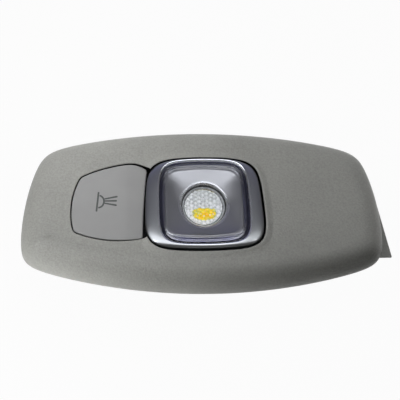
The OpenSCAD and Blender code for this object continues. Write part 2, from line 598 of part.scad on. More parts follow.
// Board and what is soldered to it
board_hx = tray_hx - tray_wall - 0.5;
board_hy = tray_hy - tray_wall - 0.5;
board_screw_d = 2.2;
contact_pitch = 2.2;
contact_t = 0.64;
plug_x0 = tray_hx - 13;
contact_x = plug_x0 - 1.2;
function contact_y(i) = (i - 2.5) * contact_pitch;
module circuit_board() {
    color("#2f6b45") translate([0, 0, board_under]) linear_extrude(board_t) difference() {
        union() {
            square([2 * (screw_x - boss_r - 0.5), 2 * board_hy], center = true);
            square([2 * board_hx, 2 * (screw_y - boss_r - 0.5)], center = true);
        }
        for (p = board_screws_at) translate(p) circle(d = board_screw_d + 0.3, $fn = 32);
        for (i = [1 : 4]) translate([contact_x, contact_y(i)]) circle(0.5, $fn = 24);
    }
}
led_base_t = 0.8;
module led_base() {
    color("#e8e6dc") translate([EYE_MIDDLE[0], EYE_MIDDLE[1], board_z + led_base_t / 2])
        cube([5, 5, led_base_t], center = true);
}
module led_phosphor() {
    color("#f2b61c") translate([EYE_MIDDLE[0], EYE_MIDDLE[1], board_z + led_base_t])
        cylinder(r = 2, h = 0.6, $fn = 48);
}
module driver_chip() {
    color("#1d1d1f") translate([34, 13, board_z]) {
        translate([-2.5, -2, 0.15]) cube([5, 4, 1.5]);
        for (i = [0 : 3], y = [-3, 1.9]) translate([(i - 1.5) * 1.27 - 0.2, y, 0]) cube([0.4, 1.1, 0.5]);
    }
}
module inductor() {
    color("#3a3a3c") translate([45, 13, board_z]) difference() {
        union() {
            linear_extrude(0.5) rounded(3.4, 3.4, 0.8);
            cylinder(r = 2.6, h = 2.3, $fn = 48);
        }
        translate([0, 0, 2]) cylinder(r = 1.2, h = 1, $fn = 32);
    }
}
module capacitor() {
    color("#b08a4a") translate([27, 13, board_z]) linear_extrude(1.8) rounded(1.3, 1.6, 0.3);
}
module resistor(x) {
    color("#2b2b30") translate([x, -13, board_z]) {
        translate([-1.6, -0.8, 0]) cube([3.2, 1.6, 0.5]);
        translate([-1, -0.8, 0]) cube([2, 1.6, 0.6]);
    }
}
module resistor_1() { resistor(28); }
module resistor_2() { resistor(34); }
module resistor_3() { resistor(40); }

// Switch under the key
switch_w = 7;
stroke = 1;
plunger_r = 1.7;
plunger_foot = board_z + 2.3;
module switch_body() {
    color("#cfd0cc") translate([post_place[0], post_place[1], board_z]) difference() {
        union() {
            linear_extrude(deck_z - board_z - 0.4) rounded(switch_w / 2, switch_w / 2, 0.6);
            cylinder(r = plunger_r + 0.9, h = deck_z - board_z + 0.2, $fn = 48);
        }
        translate([0, 0, plunger_foot - board_z - stroke])
            cylinder(r = plunger_r + 0.05, h = 9, $fn = 48);
    }
}
module switch_plunger() {
    color("#f0efe8") translate([post_place[0], post_place[1], plunger_foot])
        cylinder(r = plunger_r, h = plunger_top - plunger_foot, $fn = 48);
}

// Connector on the board's underside, open at the right end
plug_wall = 1.1;
contact_z = board_under - plug_h / 2;
module connector_shroud() {
    color("#3c3c40") difference() {
        plug_space(0, plug_x0, tray_hx + 1.6);
        translate([plug_x0 + 2, -plug_w / 2 + plug_wall, board_under - plug_h + plug_wall])
            cube([20, plug_w - 2 * plug_wall, plug_h - 2 * plug_wall]);
        translate([plug_x0 + 2, -1.5, board_under - plug_h - 1]) cube([20, 3, 2.2]);
        for (i = [1 : 4]) translate([plug_x0 + 1, contact_y(i), contact_z])
            cube([6, contact_t + 0.06, contact_t + 0.06], center = true);
    }
}
module contact(i) {
    color("#d8b45a") translate([0, contact_y(i) - contact_t / 2, 0]) {
        translate([contact_x - contact_t / 2, 0, contact_z - contact_t / 2])
            cube([tray_hx - 4.5 - contact_x, contact_t, contact_t]);
        translate([contact_x - contact_t / 2, 0, contact_z - contact_t / 2])
            cube([contact_t, contact_t, board_z + 0.7 - contact_z]);
    }
}
module contact_1() { contact(1); }
module contact_2() { contact(2); }
module contact_3() { contact(3); }
module contact_4() { contact(4); }

// Screws with pan heads and cross recesses; the head's seat is at the origin, the shank points up
module screw(d, length, r, head) {
    difference() {
        rotate_extrude($fn = 48) polygon(concat(
            [[0, -head], [r * 0.6, -head], [r * 0.9, -head * 0.7], [r, -head * 0.35], [r, 0]],
            [[d / 2, 0], [d / 2, length - d / 2], [0, length]]));
        for (a = [0, 90]) rotate(a) translate([0, 0, -head]) cube([r * 1.1, 0.6, head], center = true);
    }
}
module housing_screws() {
    color("#55575b") at_screws() translate([0, 0, head_sink])
        screw(screw_d, boss_top - head_sink - 3, head_r, 1.7);
}
module board_screws() {
    color("#8d9095") for (p = board_screws_at) translate([p[0], p[1], board_under])
        screw(board_screw_d, deck_z - board_under - 1.6, 2.1, 1.3);
}

bezel();
trim_ring();
lens();
reflector();
beam_lens();
press_key();
carrier();
back_cover();
circuit_board();
led_base();
led_phosphor();
driver_chip();
inductor();
capacitor();
resistor_1();
resistor_2();
resistor_3();
switch_body();
switch_plunger();
connector_shroud();
contact_1();
contact_2();
contact_3();
contact_4();
housing_screws();
board_screws();
spring_clip_upper();
spring_clip_lower();
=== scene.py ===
"""Interior reading light: smooth moulded pieces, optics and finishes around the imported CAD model.

Laid out as a Blender add-on and run as a script. Outlines are worked out in millimetres and
written to the meshes in metres, in the frame of the CAD model.
"""

import math
from types import SimpleNamespace

import bmesh
import bpy
import numpy as np
from bpy.props import FloatProperty, FloatVectorProperty, PointerProperty
from mathutils import Matrix, Vector


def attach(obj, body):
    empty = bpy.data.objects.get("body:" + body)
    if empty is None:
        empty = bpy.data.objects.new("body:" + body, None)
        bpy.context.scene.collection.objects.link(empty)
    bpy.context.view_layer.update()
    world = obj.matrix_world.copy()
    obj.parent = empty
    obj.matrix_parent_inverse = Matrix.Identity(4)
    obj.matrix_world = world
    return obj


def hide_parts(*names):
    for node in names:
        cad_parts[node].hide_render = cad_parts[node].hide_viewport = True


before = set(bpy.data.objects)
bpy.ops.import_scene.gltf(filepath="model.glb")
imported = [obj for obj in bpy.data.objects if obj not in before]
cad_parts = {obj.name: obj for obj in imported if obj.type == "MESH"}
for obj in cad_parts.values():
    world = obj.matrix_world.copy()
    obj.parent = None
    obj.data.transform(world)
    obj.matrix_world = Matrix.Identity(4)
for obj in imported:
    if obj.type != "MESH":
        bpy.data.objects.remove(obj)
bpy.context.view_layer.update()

bl_info = {
    "name": "Interior reading light",
    "version": (1, 0, 0),
    "blender": (4, 5, 0),
    "location": "3D View > Sidebar > Reading light",
    "description": "Builds the smooth mouldings, optics and finishes of a car's reading light",
    "category": "Object",
}

MM = 0.001
ROUND = 288
SHARP_ANGLE = math.radians(32)
# Near black painted on the walls of the gaps: painted shade for the shadow deep inside them
GAP_PAINTED_SHADE = (0.004, 0.004, 0.004)
ACRYLIC_IOR = 1.49


# Sizes and colours that a user would change

def length(name, description, mm):
    return FloatProperty(name=name, description=description, default=mm * MM, unit="LENGTH", precision=5)


def colour(name, description, rgb):
    return FloatVectorProperty(name=name, description=description, default=rgb, size=3,
                               min=0, max=1, subtype="COLOR")


def angle(name, description, degrees):
    return FloatProperty(name=name, description=description, default=math.radians(degrees), subtype="ANGLE")


def amount(name, description, default, unit="NONE"):
    return FloatProperty(name=name, description=description, default=default, min=0, unit=unit)


class FaceSizes(bpy.types.PropertyGroup):
    """Sizes of the bezel's face"""
    right: length("Right end", "Distance from the lamp's middle to the right end", 75)
    left: length("Left end", "Distance from the lamp's middle to the left end", 72.8)
    top: length("Upper edge", "Distance from the lamp's middle to the upper edge", 36.7)
    bottom: length("Lower edge", "Distance from the lamp's middle to the lower edge", 35.8)
    rim: length("Rim height", "Height of the bezel's rim above the back", 16.5)
    rise: length("Face rise", "Rise of the face above the rim at the lamp", 12.3)
    edge: length("Edge width", "Width of the rounded edge, seen from the front", 11)
    skirt: length("Skirt", "Straight skirt below the rounded edge", 1.2)
    wall: length("Wall", "Wall of the bezel", 2.2)
    lamp_collar: length("Lamp collar", "Height of the collar that swells round the lamp", 0.9)
    key_collar: length("Key collar", "Height of the collar round the key", 0.45)
    collar: length("Collar width", "Width of both collars", 3.6)


class LampSizes(bpy.types.PropertyGroup):
    """Sizes of the trim ring and the optics"""
    ring_hw: length("Ring half width", "Half width of the trim ring", 24.5)
    ring_hh: length("Ring half height", "Half height of the trim ring", 20.7)
    ring_drop: length("Ring drop", "How much nearer the ring's upper edge is than its lower edge", 0.5)
    lens_hw: length("Lens half width", "Half width of the lens", 18.8)
    lens_hh: length("Lens half height", "Half height of the lens", 18.75)
    lens_t: length("Lens thickness", "Thickness of the lens", 1.8)
    band: length("Lens band", "Width of the band between the lens's edge and the reflector's edge", 3.1)
    eye_r: length("Eye radius", "Radius of the round hole in the reflector", 9.5)
    optic_r: length("Beam lens radius", "Radius of the beam lens's free edge", 9)
    pitch: length("Lenslet pitch", "Distance between neighbouring lenslets", 1.85)


class KeySizes(bpy.types.PropertyGroup):
    """Sizes of the press key and its gaps"""
    gap: length("Key gap", "Gap between the key and the bezel", 0.45)
    ring_gap: length("Key to ring gap", "Gap between the key and the trim ring", 0.8)
    left: length("Left edge", "Distance from the key's middle to its left edge", 15.6)
    top: length("Upper edge", "Distance from the key's middle to its upper edge", 15)
    bottom: length("Lower edge", "Distance from the key's middle to its lower edge", 16.9)
    facet: angle("Facet slope", "Slope of the facet beside the ring", 8)
    symbol: length("Symbol stroke", "Width of the printed symbol's strokes", 0.72)


class Finishes(bpy.types.PropertyGroup):
    """Colours of the main materials"""
    bezel: colour("Bezel", "Warm grey grained plastic", (0.355, 0.356, 0.333))
    key: colour("Key", "Smooth grey plastic", (0.34, 0.34, 0.338))
    symbol: colour("Symbol", "Ink of the printed symbol", (0.07, 0.08, 0.075))
    chrome: colour("Trim ring", "Satin chrome plating", (0.335, 0.345, 0.365))
    reflector: colour("Reflector", "Satin metallised plastic", (0.285, 0.285, 0.292))
    reflector_rim: colour("Reflector rim", "Bluish band round the reflector", (0.23, 0.23, 0.34))
    lens: colour("Lens", "Tint of the clear lens", (0.95, 0.955, 0.98))
    optic: colour("Beam lens", "Tint of the beam lens", (0.86, 0.90, 0.89))
    phosphor: colour("Phosphor", "The LED's yellow phosphor", (0.84, 0.54, 0.01))
    black: colour("Housing", "Black plastic of the housing", (0.018, 0.018, 0.019))
    board: colour("Board", "Green solder mask", (0.02, 0.11, 0.05))
    steel: colour("Steel", "Screws and clips", (0.52, 0.53, 0.54))


class StageSettings(bpy.types.PropertyGroup):
    """Camera, lamps and floor"""
    distance: length("Camera distance", "Distance from the camera to the middle of the face", 450)
    target: length("Target height", "Height of the point that the camera is aimed at", 28.5)
    elevation: angle("Elevation", "Camera's height above the horizon", 67.4)
    side_view: angle("Side view", "How far the camera stands to the side", -6)
    lean: angle("Lean", "Camera's roll", -2.951)
    lens: amount("Lens", "Focal length on a 36 mm sensor", 96.63, "CAMERA")
    shift: FloatVectorProperty(name="Shift", description="Shift that centres the object as in the photograph",
                               default=(-0.0105, 0.0072), size=2, subtype="XYZ")
    near: amount("Near lamps", "Strength of the small lamps that light the plastic", 0.93)
    left_box: amount("Left box", "Power of the soft box above and to the left", 2.7, "POWER")
    right_box: amount("Right box", "Power of the weaker box at the right", 0.7, "POWER")
    cores: amount("Cores", "Power of the small bright lamps that glint", 0.3, "POWER")
    world: amount("Walls", "Brightness of the walls in mirrors and glass", 0.3)
    fill: amount("Fill", "How much the walls light the plastic", 0.01)
    floor: colour("Floor", "Pale floor", (0.34, 0.34, 0.34))


# Outlines: shallow arcs that run into each other, each with a direction, a distance and a radius

class Outline:
    """A closed outline round a middle point, in millimetres."""

    def __init__(self, arcs, sharp, middle=(0, 0)):
        self.arcs = arcs
        self.sharp = sharp
        self.middle = np.array(middle, float)

    def grown(self, g):
        return Outline([(a, d + g, r + g) for a, d, r in self.arcs], self.sharp, self.middle)

    def reach(self, u):
        """Distance from the middle to the outline along each unit vector."""
        total, missed = 0, 1e5
        for direction, distance, radius in self.arcs:
            normal = np.array([math.cos(math.radians(direction)), math.sin(math.radians(direction))])
            centre = (distance - radius) * normal
            along = u @ centre
            q = along**2 - centre @ centre + radius**2
            root = np.sqrt(np.maximum(q, 0))
            arc = along + root if radius > 0 else np.where(q > 0, along - root, missed)
            total = total + arc ** -float(self.sharp)
        return total ** (-1 / self.sharp)

    def at(self, degrees):
        """Points of the outline in these directions from its middle."""
        a = np.radians(np.asarray(degrees, float))
        u = np.stack([np.cos(a), np.sin(a)], -1)
        return self.middle + u * self.reach(u)[..., None]

    def loop(self, grow=0, n=ROUND):
        """The outline as points at even angles, grown by a margin."""
        return self.grown(grow).at(np.arange(n) * 360 / n)

    def outside(self, points):
        """How far each point lies outside, along its ray from the middle."""
        d = points - self.middle
        r = np.linalg.norm(d, axis=-1)
        return r - self.reach(d / r[..., None])


def in_mm(group):
    """The sizes of a property group, with its lengths in millimetres."""
    values = SimpleNamespace()
    for name in group.__annotations__:
        metres = group.bl_rna.properties[name].unit == "LENGTH"
        setattr(values, name, getattr(group, name) / (MM if metres else 1))
    return values


class Shapes:
    """Every outline and level of the lamp, from the sizes in the scene."""

    def __init__(self, scene):
        f, l, k = in_mm(scene.light_face), in_mm(scene.light_lamp), in_mm(scene.light_key)
        self.f, self.l, self.k = f, l, k
        self.set_levels(f, l)
        self.crown_x, self.crown_y = 4400, 1400
        self.face = Outline([(89.5, f.top, 268), (269.1, f.bottom, 237),
                             (25, f.right, 100), (149.3, f.left, 100)], 20)
        ring_sharp, extra_gap = 5.7, (0, 0.65, 0.3, 0)
        ring = [(90, l.ring_hh - l.ring_drop, 173), (270, l.ring_hh, 173),
                (3.2, l.ring_hw, 900), (176.8, l.ring_hw, 900)]
        self.ring = Outline(ring, ring_sharp)
        self.ring_gap = Outline([(a, d + k.gap + extra, r + k.gap + extra)
                                 for (a, d, r), extra in zip(ring, extra_gap)], ring_sharp)
        self.lens = Outline([(90, l.lens_hh, 148), (270, l.lens_hh, 148),
                             (1.3, l.lens_hw, 185), (178.7, l.lens_hw, 185)], 6.8, (0, 0.1))
        pan_h, pan_w = l.lens_hh - l.band - 0.5, l.lens_hw - l.band + 0.1
        self.pan = Outline([(90, pan_h, 110), (270, pan_h, 110),
                            (1, pan_w, 900), (179, pan_w, 900)], 9, (0, 0.7))
        self.eye = np.array([0.2, 0.4])
        self.front = self.eye + [-0.2, -0.45]
        self.cell = l.pitch / math.sqrt(12)
        key_right, key_sharp = 13.85, 35
        key = [(165, k.left, 35), (108.4, k.top, 64), (74, k.top + 4.7, 60),
               (-4.6, key_right, -280), (262.7, k.bottom, 46)]
        self.key = Outline(key, key_sharp, (-l.ring_hw - k.ring_gap - key_right + 0.15, 1))
        under_ring = k.ring_gap + 0.6
        self.key_gap = Outline([(a, d + k.gap + (under_ring if r < 0 else 0), r + k.gap) for a, d, r in key],
                               key_sharp, self.key.middle)

    def set_levels(self, f, l):
        """Heights above the back, each measured from the one that carries it."""
        self.lamp_z = f.rim + f.rise
        self.deck_z = f.rim + 2
        self.deck_under = self.deck_z - 1.8
        self.board_z = self.deck_under - 2.7
        self.seat_z = self.lamp_z - 4.2
        self.flange_z = self.seat_z + 0.8
        self.ring_seat_z = self.flange_z + 0.8
        self.lens_z = self.lamp_z + 1
        self.pan_z = self.lens_z - l.lens_t - 0.6
        self.optic_seat_z = self.deck_z + 3.7
        self.key_z = self.lamp_z - 0.4

    def crown(self, p):
        """Rise of the crowned face above the rim."""
        return self.f.rise - p[:, 0] ** 2 / self.crown_x - p[:, 1] ** 2 / self.crown_y

    def swell(self, e):
        """Share of a collar's height at a distance from its opening."""
        t = np.clip(e / self.f.collar, 0, 1)
        return (1 + np.cos(np.pi * t)) / 2

    def face_z(self, p):
        """Height of the bezel's face, with the collars round the ring and the key."""
        ring = self.f.lamp_collar * self.swell(self.ring_gap.outside(p))
        key = self.f.key_collar * self.swell(self.key.outside(p))
        return self.f.rim + self.crown(p) + np.hypot(ring, key)

    def key_drop(self, p):
        """How far the key's facet lies below its flat top, past a soft, slanted crease."""
        crease_x, slant, softness = 7, 0.057, 1.4
        past = p[:, 0] - (self.key.middle[0] + crease_x + slant * (p[:, 1] - self.key.middle[1]))
        return math.tan(self.k.facet) * (past + np.sqrt(past * past + softness)) / 2


# Meshes

def level(points, z):
    """Flat points raised to a height, one for all or one for each."""
    return np.column_stack([points, np.broadcast_to(z, len(points))])


def blend(a, b, t):
    """Goes from a to b as t goes from 0 to 1."""
    return a * (1 - t) + b * t


def sweep(start, end, count):
    """Angles in radians, from two ends in degrees."""
    return np.radians(np.linspace(start, end, count))


def stack(outline, steps):
    """Rings of an outline, each grown by an amount and set at a height."""
    return [level(outline.loop(grow), z) for grow, z in steps]


def circle(middle, r, n=ROUND):
    a = np.arange(n) * 2 * np.pi / n
    return np.asarray(middle) + r * np.stack([np.cos(a), np.sin(a)], -1)


def mesh_object(name, points, faces):
    """A new object from points in millimetres, with its normals facing out."""
    mesh = bpy.data.meshes.new(name)
    mesh.from_pydata((np.asarray(points, float) * MM).tolist(), [], faces)
    bm = bmesh.new()
    bm.from_mesh(mesh)
    bmesh.ops.recalc_face_normals(bm, faces=bm.faces)
    bm.to_mesh(mesh)
    bm.free()
    obj = bpy.data.objects.new(name, mesh)
    bpy.context.scene.collection.objects.link(obj)
    return obj


def skin(name, rings, lids=False):
    """A closed surface over rings of points that run anticlockwise, seen from above."""
    n, m = len(rings[0]), len(rings)
    points = np.concatenate(rings)
    faces = []
    for j in range(m - 1 if lids else m):
        for i in range(n):
            k = (i + 1) % n
            up = (j + 1) % m
            faces.append((j * n + i, j * n + k, up * n + k, up * n + i))
    if lids:
        points = np.vstack([points, rings[0].mean(0), rings[-1].mean(0)])
        faces += [(m * n, (i + 1) % n, i) for i in range(n)]
        faces += [(m * n + 1, (m - 1) * n + i, (m - 1) * n + (i + 1) % n) for i in range(n)]
    return mesh_object(name, points, faces)


def lathe(name, profile, middle=(0, 0), n=96):
    """A turned solid from a profile of (radius, height) whose ends lie on the axis."""
    rings = [level(circle(middle, r, n), z) for r, z in profile[1:-1]]
    obj = skin(name, rings, lids=True)
    for v, (_, z) in zip(obj.data.vertices[-2:], (profile[0], profile[-1])):
        v.co.z = z * MM
    return obj


def extrusion(name, near, far):
    """A straight solid between two flat outlines that match point by point."""
    n = len(near)
    sides = [(i, (i + 1) % n, n + (i + 1) % n, n + i) for i in range(n)]
    lids = [tuple(range(n))[::-1], tuple(range(n, 2 * n))]
    return mesh_object(name, np.vstack([near, far]), sides + lids)


def slab(name, outline, axis, middle, thickness):
    """A flat plate of even thickness across an axis, from an outline in the two other axes."""
    ends = (middle - thickness / 2, middle + thickness / 2)
    return extrusion(name, *[np.insert(np.array(outline, float), axis, end, axis=1) for end in ends])


def pin_along_y(name, x, z, y0, y1, r, n=64):
    """A round pin along Y."""
    a = np.arange(n) * 2 * np.pi / n
    rings = [np.stack([x + r * np.cos(a), np.full(n, y), z + r * np.sin(a)], -1) for y in (y0, y1)]
    return skin(name, rings, lids=True)


def combine(base, others, operation="UNION"):
    """Joins solids into the base, or keeps what they share, as one closed mesh."""
    for other in others:
        m = base.modifiers.new("Combine", "BOOLEAN")
        m.operation = operation
        m.solver = "EXACT"
        m.object = other
    bpy.context.view_layer.update()
    made = bpy.data.meshes.new_from_object(base.evaluated_get(bpy.context.evaluated_depsgraph_get()))
    base.modifiers.clear()
    old = base.data
    base.data = made
    bpy.data.meshes.remove(old)
    for other in others:
        bpy.data.objects.remove(other)
    return base


def smooth(obj, sharpest=SHARP_ANGLE):
    """Smooth shading, with creases where faces meet at more than an angle."""
    obj.data.shade_smooth()
    obj.data.set_sharp_from_angle(angle=sharpest)


def mark(obj, name, values):
    """Writes a value from 0 to 1 on each point of a mesh, for its material to read."""
    values = np.clip(np.asarray(values, float), 0, 1).astype(np.float32)
    obj.data.attributes.new(name, "FLOAT", "POINT").data.foreach_set("value", values)


def points_mm(obj):
    """A mesh's points in millimetres."""
    p = np.empty(len(obj.data.vertices) * 3)
    obj.data.vertices.foreach_get("co", p)
    return p.reshape(-1, 3) / MM


def finish_piece(obj, material, body, nodes=()):
    """Gives a new piece its material and its body, and hides the CAD nodes that it stands for."""
    obj.data.materials.clear()
    obj.data.materials.append(material)
    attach(obj, body)
    if nodes:
        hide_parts(*nodes)


# Materials

def add_node(tree, kind, inputs=None, **settings):
    """A new node; each of its inputs is set to a value or linked to another node's output."""
    node = tree.nodes.new(kind)
    for key, value in settings.items():
        setattr(node, key, value)
    for key, value in (inputs or {}).items():
        if isinstance(value, bpy.types.NodeSocket):
            tree.links.new(value, node.inputs[key])
        else:
            node.inputs[key].default_value = value
    return node


class Recipe:
    """A material built from nodes around one Principled shader."""

    def __init__(self, name, rgb, roughness, **values):
        self.material = bpy.data.materials.new(name)
        self.material.use_nodes = True
        self.tree = self.material.node_tree
        self.shader = next(n for n in self.tree.nodes if n.type == "BSDF_PRINCIPLED")
        self.shader.inputs["Base Color"].default_value = (*rgb, 1)
        self.shader.inputs["Roughness"].default_value = roughness
        for key, value in values.items():
            self.shader.inputs[key.replace("_", " ")].default_value = value
        self.coords = self.add("ShaderNodeTexCoord").outputs["Object"]

    def add(self, kind, inputs=None, **settings):
        return add_node(self.tree, kind, inputs, **settings)

    def link(self, a, b):
        self.tree.links.new(a, b)

    def stretched(self, scale):
        """Coordinates scaled unevenly, for brushed or flowing patterns."""
        return self.add("ShaderNodeMapping", {"Scale": scale, "Vector": self.coords}).outputs["Vector"]

    def noise(self, size_mm, detail=2.0, rough=0.5, vector=None):
        """Soft random pattern with features of about this size."""
        return self.add("ShaderNodeTexNoise", {
            "Scale": 1 / (size_mm * MM), "Detail": detail, "Roughness": rough,
            "Vector": vector or self.coords}).outputs["Fac"]

    def cells(self, size_mm, feature="F1", randomness=1.0):
        """Pattern of random cells of about this size."""
        return self.add("ShaderNodeTexVoronoi", {
            "Scale": 1 / (size_mm * MM), "Randomness": randomness, "Vector": self.coords},
            feature=feature).outputs["Distance"]

    def spread(self, value, low, high, start=0.35, end=0.65):
        """Maps a pattern's middle range onto low to high."""
        return self.add("ShaderNodeMapRange", {
            "Value": value, "From Min": start, "From Max": end,
            "To Min": low, "To Max": high}).outputs["Result"]

    def maths(self, operation, a, b):
        return self.add("ShaderNodeMath", {0: a, 1: b}, operation=operation).outputs[0]

    def mixed(self, factor, first, second):
        """Base colour that goes from the first to the second, each a colour or a node's output."""
        n = self.add("ShaderNodeMix", {"Factor": factor}, data_type="RGBA")
        sockets = [s for s in n.inputs if s.type == "RGBA"]
        for socket, value in zip(sockets, (first, second)):
            if isinstance(value, tuple):
                socket.default_value = (*value, 1)
            else:
                self.link(value, socket)
        out = next(s for s in n.outputs if s.type == "RGBA")
        self.link(out, self.shader.inputs["Base Color"])
        return out

    def mask(self, name):
        """The value that mark() wrote on the mesh's points."""
        return self.add("ShaderNodeAttribute", attribute_name=name).outputs["Fac"]

    def rough(self, value):
        self.link(value, self.shader.inputs["Roughness"])

    def summed(self, a, share_a, b, share_b):
        """Two patterns added, each times its share."""
        return self.maths("ADD", self.maths("MULTIPLY", a, share_a), self.maths("MULTIPLY", b, share_b))

    def bumps(self, *layers):
        """Bump layers, each a height pattern with its depth in millimetres."""
        last = {}
        for height, depth in layers:
            bump = self.add("ShaderNodeBump", {"Distance": depth * MM, "Height": height, **last})
            last = {"Normal": bump.outputs["Normal"]}
        self.link(last["Normal"], self.shader.inputs["Normal"])


def shade(rgb, factor):
    """A colour made lighter or darker."""
    return tuple(min(1, max(0, c * factor)) for c in rgb)


def grained_plastic(name, rgb, roughness=0.44, grain=0.5, depth=0.12, specular=0.2, specks=0.08):
    """Moulded plastic with a spark-eroded grain, faint flow marks and rubbed edges."""
    m = Recipe(name, rgb, roughness, Specular_IOR_Level=specular)
    fine = m.noise(grain, 3.0, 0.6)
    pits = m.cells(grain * 1.6, "SMOOTH_F1")
    flow = m.noise(22, 2.0)
    edges = m.add("ShaderNodeNewGeometry").outputs["Pointiness"]
    worn = m.spread(edges, 0, 1, 0.51, 0.56)
    mottled = m.spread(m.summed(flow, 0.6, fine, 0.4), 0, 1)
    grey = m.mixed(m.summed(mottled, 1.0, worn, -0.6), shade(rgb, 1.06), shade(rgb, 0.93))
    sparkle = m.spread(m.noise(grain * 1.5, 2.0), 1 - specks, 1 + specks)
    speck = m.add("ShaderNodeHueSaturation", {"Color": grey, "Value": sparkle})
    # Painted shade: points marked as gap walls are painted near black
    m.mixed(m.mask("gap"), speck.outputs["Color"], GAP_PAINTED_SHADE)
    m.rough(m.spread(fine, roughness + 0.12, roughness - 0.12, 0.3, 0.7))
    m.bumps((flow, depth * 0.5), (pits, depth * 0.7), (m.noise(grain * 1.6, 2.0), depth))
    return m.material


def smooth_plastic(name, rgb, roughness=0.42, depth=0.006):
    """Fine soft-touch plastic with a barely visible satin texture."""
    m = Recipe(name, rgb, roughness, Specular_IOR_Level=0.45)
    fine = m.noise(0.28, 2.0)
    cloud = m.noise(14, 2.0)
    grey = m.mixed(m.spread(cloud, 0, 1), shade(rgb, 1.03), shade(rgb, 0.97))
    # Painted shade: points marked as gap walls are painted near black
    m.mixed(m.mask("gap"), grey, GAP_PAINTED_SHADE)
    m.rough(m.spread(cloud, roughness - 0.04, roughness + 0.04))
    m.bumps((fine, depth))
    return m.material


def satin_metal(name, rgb, roughness, brush=(1, 1, 1), depth=0.003, haze_share=0.03, outer=None, painted_highlight_gain=None):
    """Plated or metallised satin surface; masks show its outer band and its lip, which is smoother and
    painted lighter as a highlight.
    """
    m = Recipe(name, rgb, roughness, Metallic=1.0)
    streaks = m.noise(0.5, 3.0, 0.6, m.stretched(brush))
    haze = m.noise(7, 3.0)
    roughened = m.spread(m.summed(haze, 0.5, streaks, 0.5), roughness - haze_share, roughness + haze_share)
    if painted_highlight_gain:
        # The mask makes the surface smoother, and it also lightens the colour several times over there: a
        # painted highlight
        polish_and_painted_highlight, smoother = m.mask("polish_and_painted_highlight"), 0.14
        m.mixed(polish_and_painted_highlight, m.mixed(m.mask("outside"), rgb, outer or rgb), shade(rgb, painted_highlight_gain))
        roughened = m.summed(roughened, 1.0, polish_and_painted_highlight, -smoother)
    else:
        m.mixed(m.spread(haze, 0, 1), shade(rgb, 1.03), shade(rgb, 0.97))
    m.rough(roughened)
    m.bumps((streaks, depth))
    return m.material


def clear_plastic(name, rgb, roughness=0.03):
    """Clear acrylic that lets the lamps through to what lies behind it."""
    m = Recipe(name, rgb, roughness, Transmission_Weight=1.0, IOR=ACRYLIC_IOR)
    m.rough(m.spread(m.noise(5, 2.0), roughness, roughness + 0.03))
    m.bumps((m.noise(9, 1.0), 0.0015))
    pass_light(m, rgb, 0.85)
    return m.material


def pass_light(m, rgb, share):
    """Lets the lamps' light through a clear material, in place of a dark shadow."""
    through = m.add("ShaderNodeBsdfTransparent", {"Color": (*shade(rgb, share), 1)})
    shadow = m.add("ShaderNodeLightPath").outputs["Is Shadow Ray"]
    mixed = m.add("ShaderNodeMixShader", {
        "Fac": shadow, 1: m.shader.outputs["BSDF"], 2: through.outputs["BSDF"]})
    output = next(n for n in m.tree.nodes if n.type == "OUTPUT_MATERIAL")
    m.link(mixed.outputs["Shader"], output.inputs["Surface"])


def lenslet_plastic(name, rgb, glow):
    """Milky acrylic lenslets with painted light: the phosphor behind shows as an image painted on the lower
    part of the front, the lenslets' edges and upper part are painted darker as shade, and the front is made
    to glow.
    """
    m = Recipe(name, rgb, 0.08, IOR=ACRYLIC_IOR)
    lenslet, seen = m.mask("lenslet"), m.mask("seen")
    clear = m.maths("SUBTRACT", 1.0, m.maths("MULTIPLY", lenslet, 0.72))
    m.link(clear, m.shader.inputs["Transmission Weight"])
    # Painted shade: the lenslets' edges and the upper part of the front are painted darker
    painted_edge_shade = m.spread(m.mask("rim"), 0, 0.6, 0.6, 1.0)
    upper = m.spread(m.mask("height"), -0.25, 0.3, 0.3, 1.0)
    clouds = m.spread(m.noise(1.1, 3.0), -0.35, 0.5)
    milky = m.mixed(m.maths("ADD", painted_edge_shade, m.maths("ADD", upper, clouds)), shade(rgb, 1.15), shade(rgb, 0.66))
    # Painted image of the phosphor seen through the lower lenslets, in warm tones
    painted_phosphor_share = m.spread(m.maths("ADD", seen, m.spread(m.noise(0.5, 2.0), -0.1, 0.1)), 0, 1, 0.1, 0.3)
    painted_phosphor_share = m.maths("MULTIPLY", painted_phosphor_share, m.spread(m.cells(1.5), 0.1, 1.0, 0.10, 0.26))
    depth_of_tone = m.maths("ADD", m.maths("MULTIPLY", seen, 0.5), m.spread(m.noise(1.6, 2.0), -0.22, 0.32))
    warm = m.add("ShaderNodeValToRGB", {"Fac": depth_of_tone})
    stops = warm.color_ramp.elements
    greenish, yellow, orange = (0.42, 0.44, 0.13), (0.74, 0.60, 0.02), (0.85, 0.40, 0.0)
    for stop, place, tone in ((stops[0], 0.1, greenish), (stops.new(0.35), 0.35, yellow),
                              (stops.new(0.6), 0.6, glow), (stops[-1], 0.9, orange)):
        stop.position, stop.color = place, (*tone, 1)
    # The painted image goes into both the base colour and the emitted colour
    m.link(m.mixed(painted_phosphor_share, milky, warm.outputs["Color"]), m.shader.inputs["Emission Color"])
    # Painted glow: the lenslets' front emits light, more where the phosphor's image is painted
    painted_glow = m.maths("MULTIPLY", lenslet, m.spread(painted_phosphor_share, 0.17, 0.45, 0, 1))
    m.link(painted_glow, m.shader.inputs["Emission Strength"])
    m.bumps((m.noise(0.5, 2.0), 0.004))
    pass_light(m, rgb, 0.9)
    return m.material


def printed_ink(name, rgb):
    """Matt ink with a slightly uneven cover."""
    m = Recipe(name, rgb, 0.6)
    m.mixed(m.spread(m.noise(0.5, 3.0), 0, 1), shade(rgb, 1.1), shade(rgb, 0.9))
    m.bumps((m.noise(0.2, 2.0), 0.004))
    return m.material


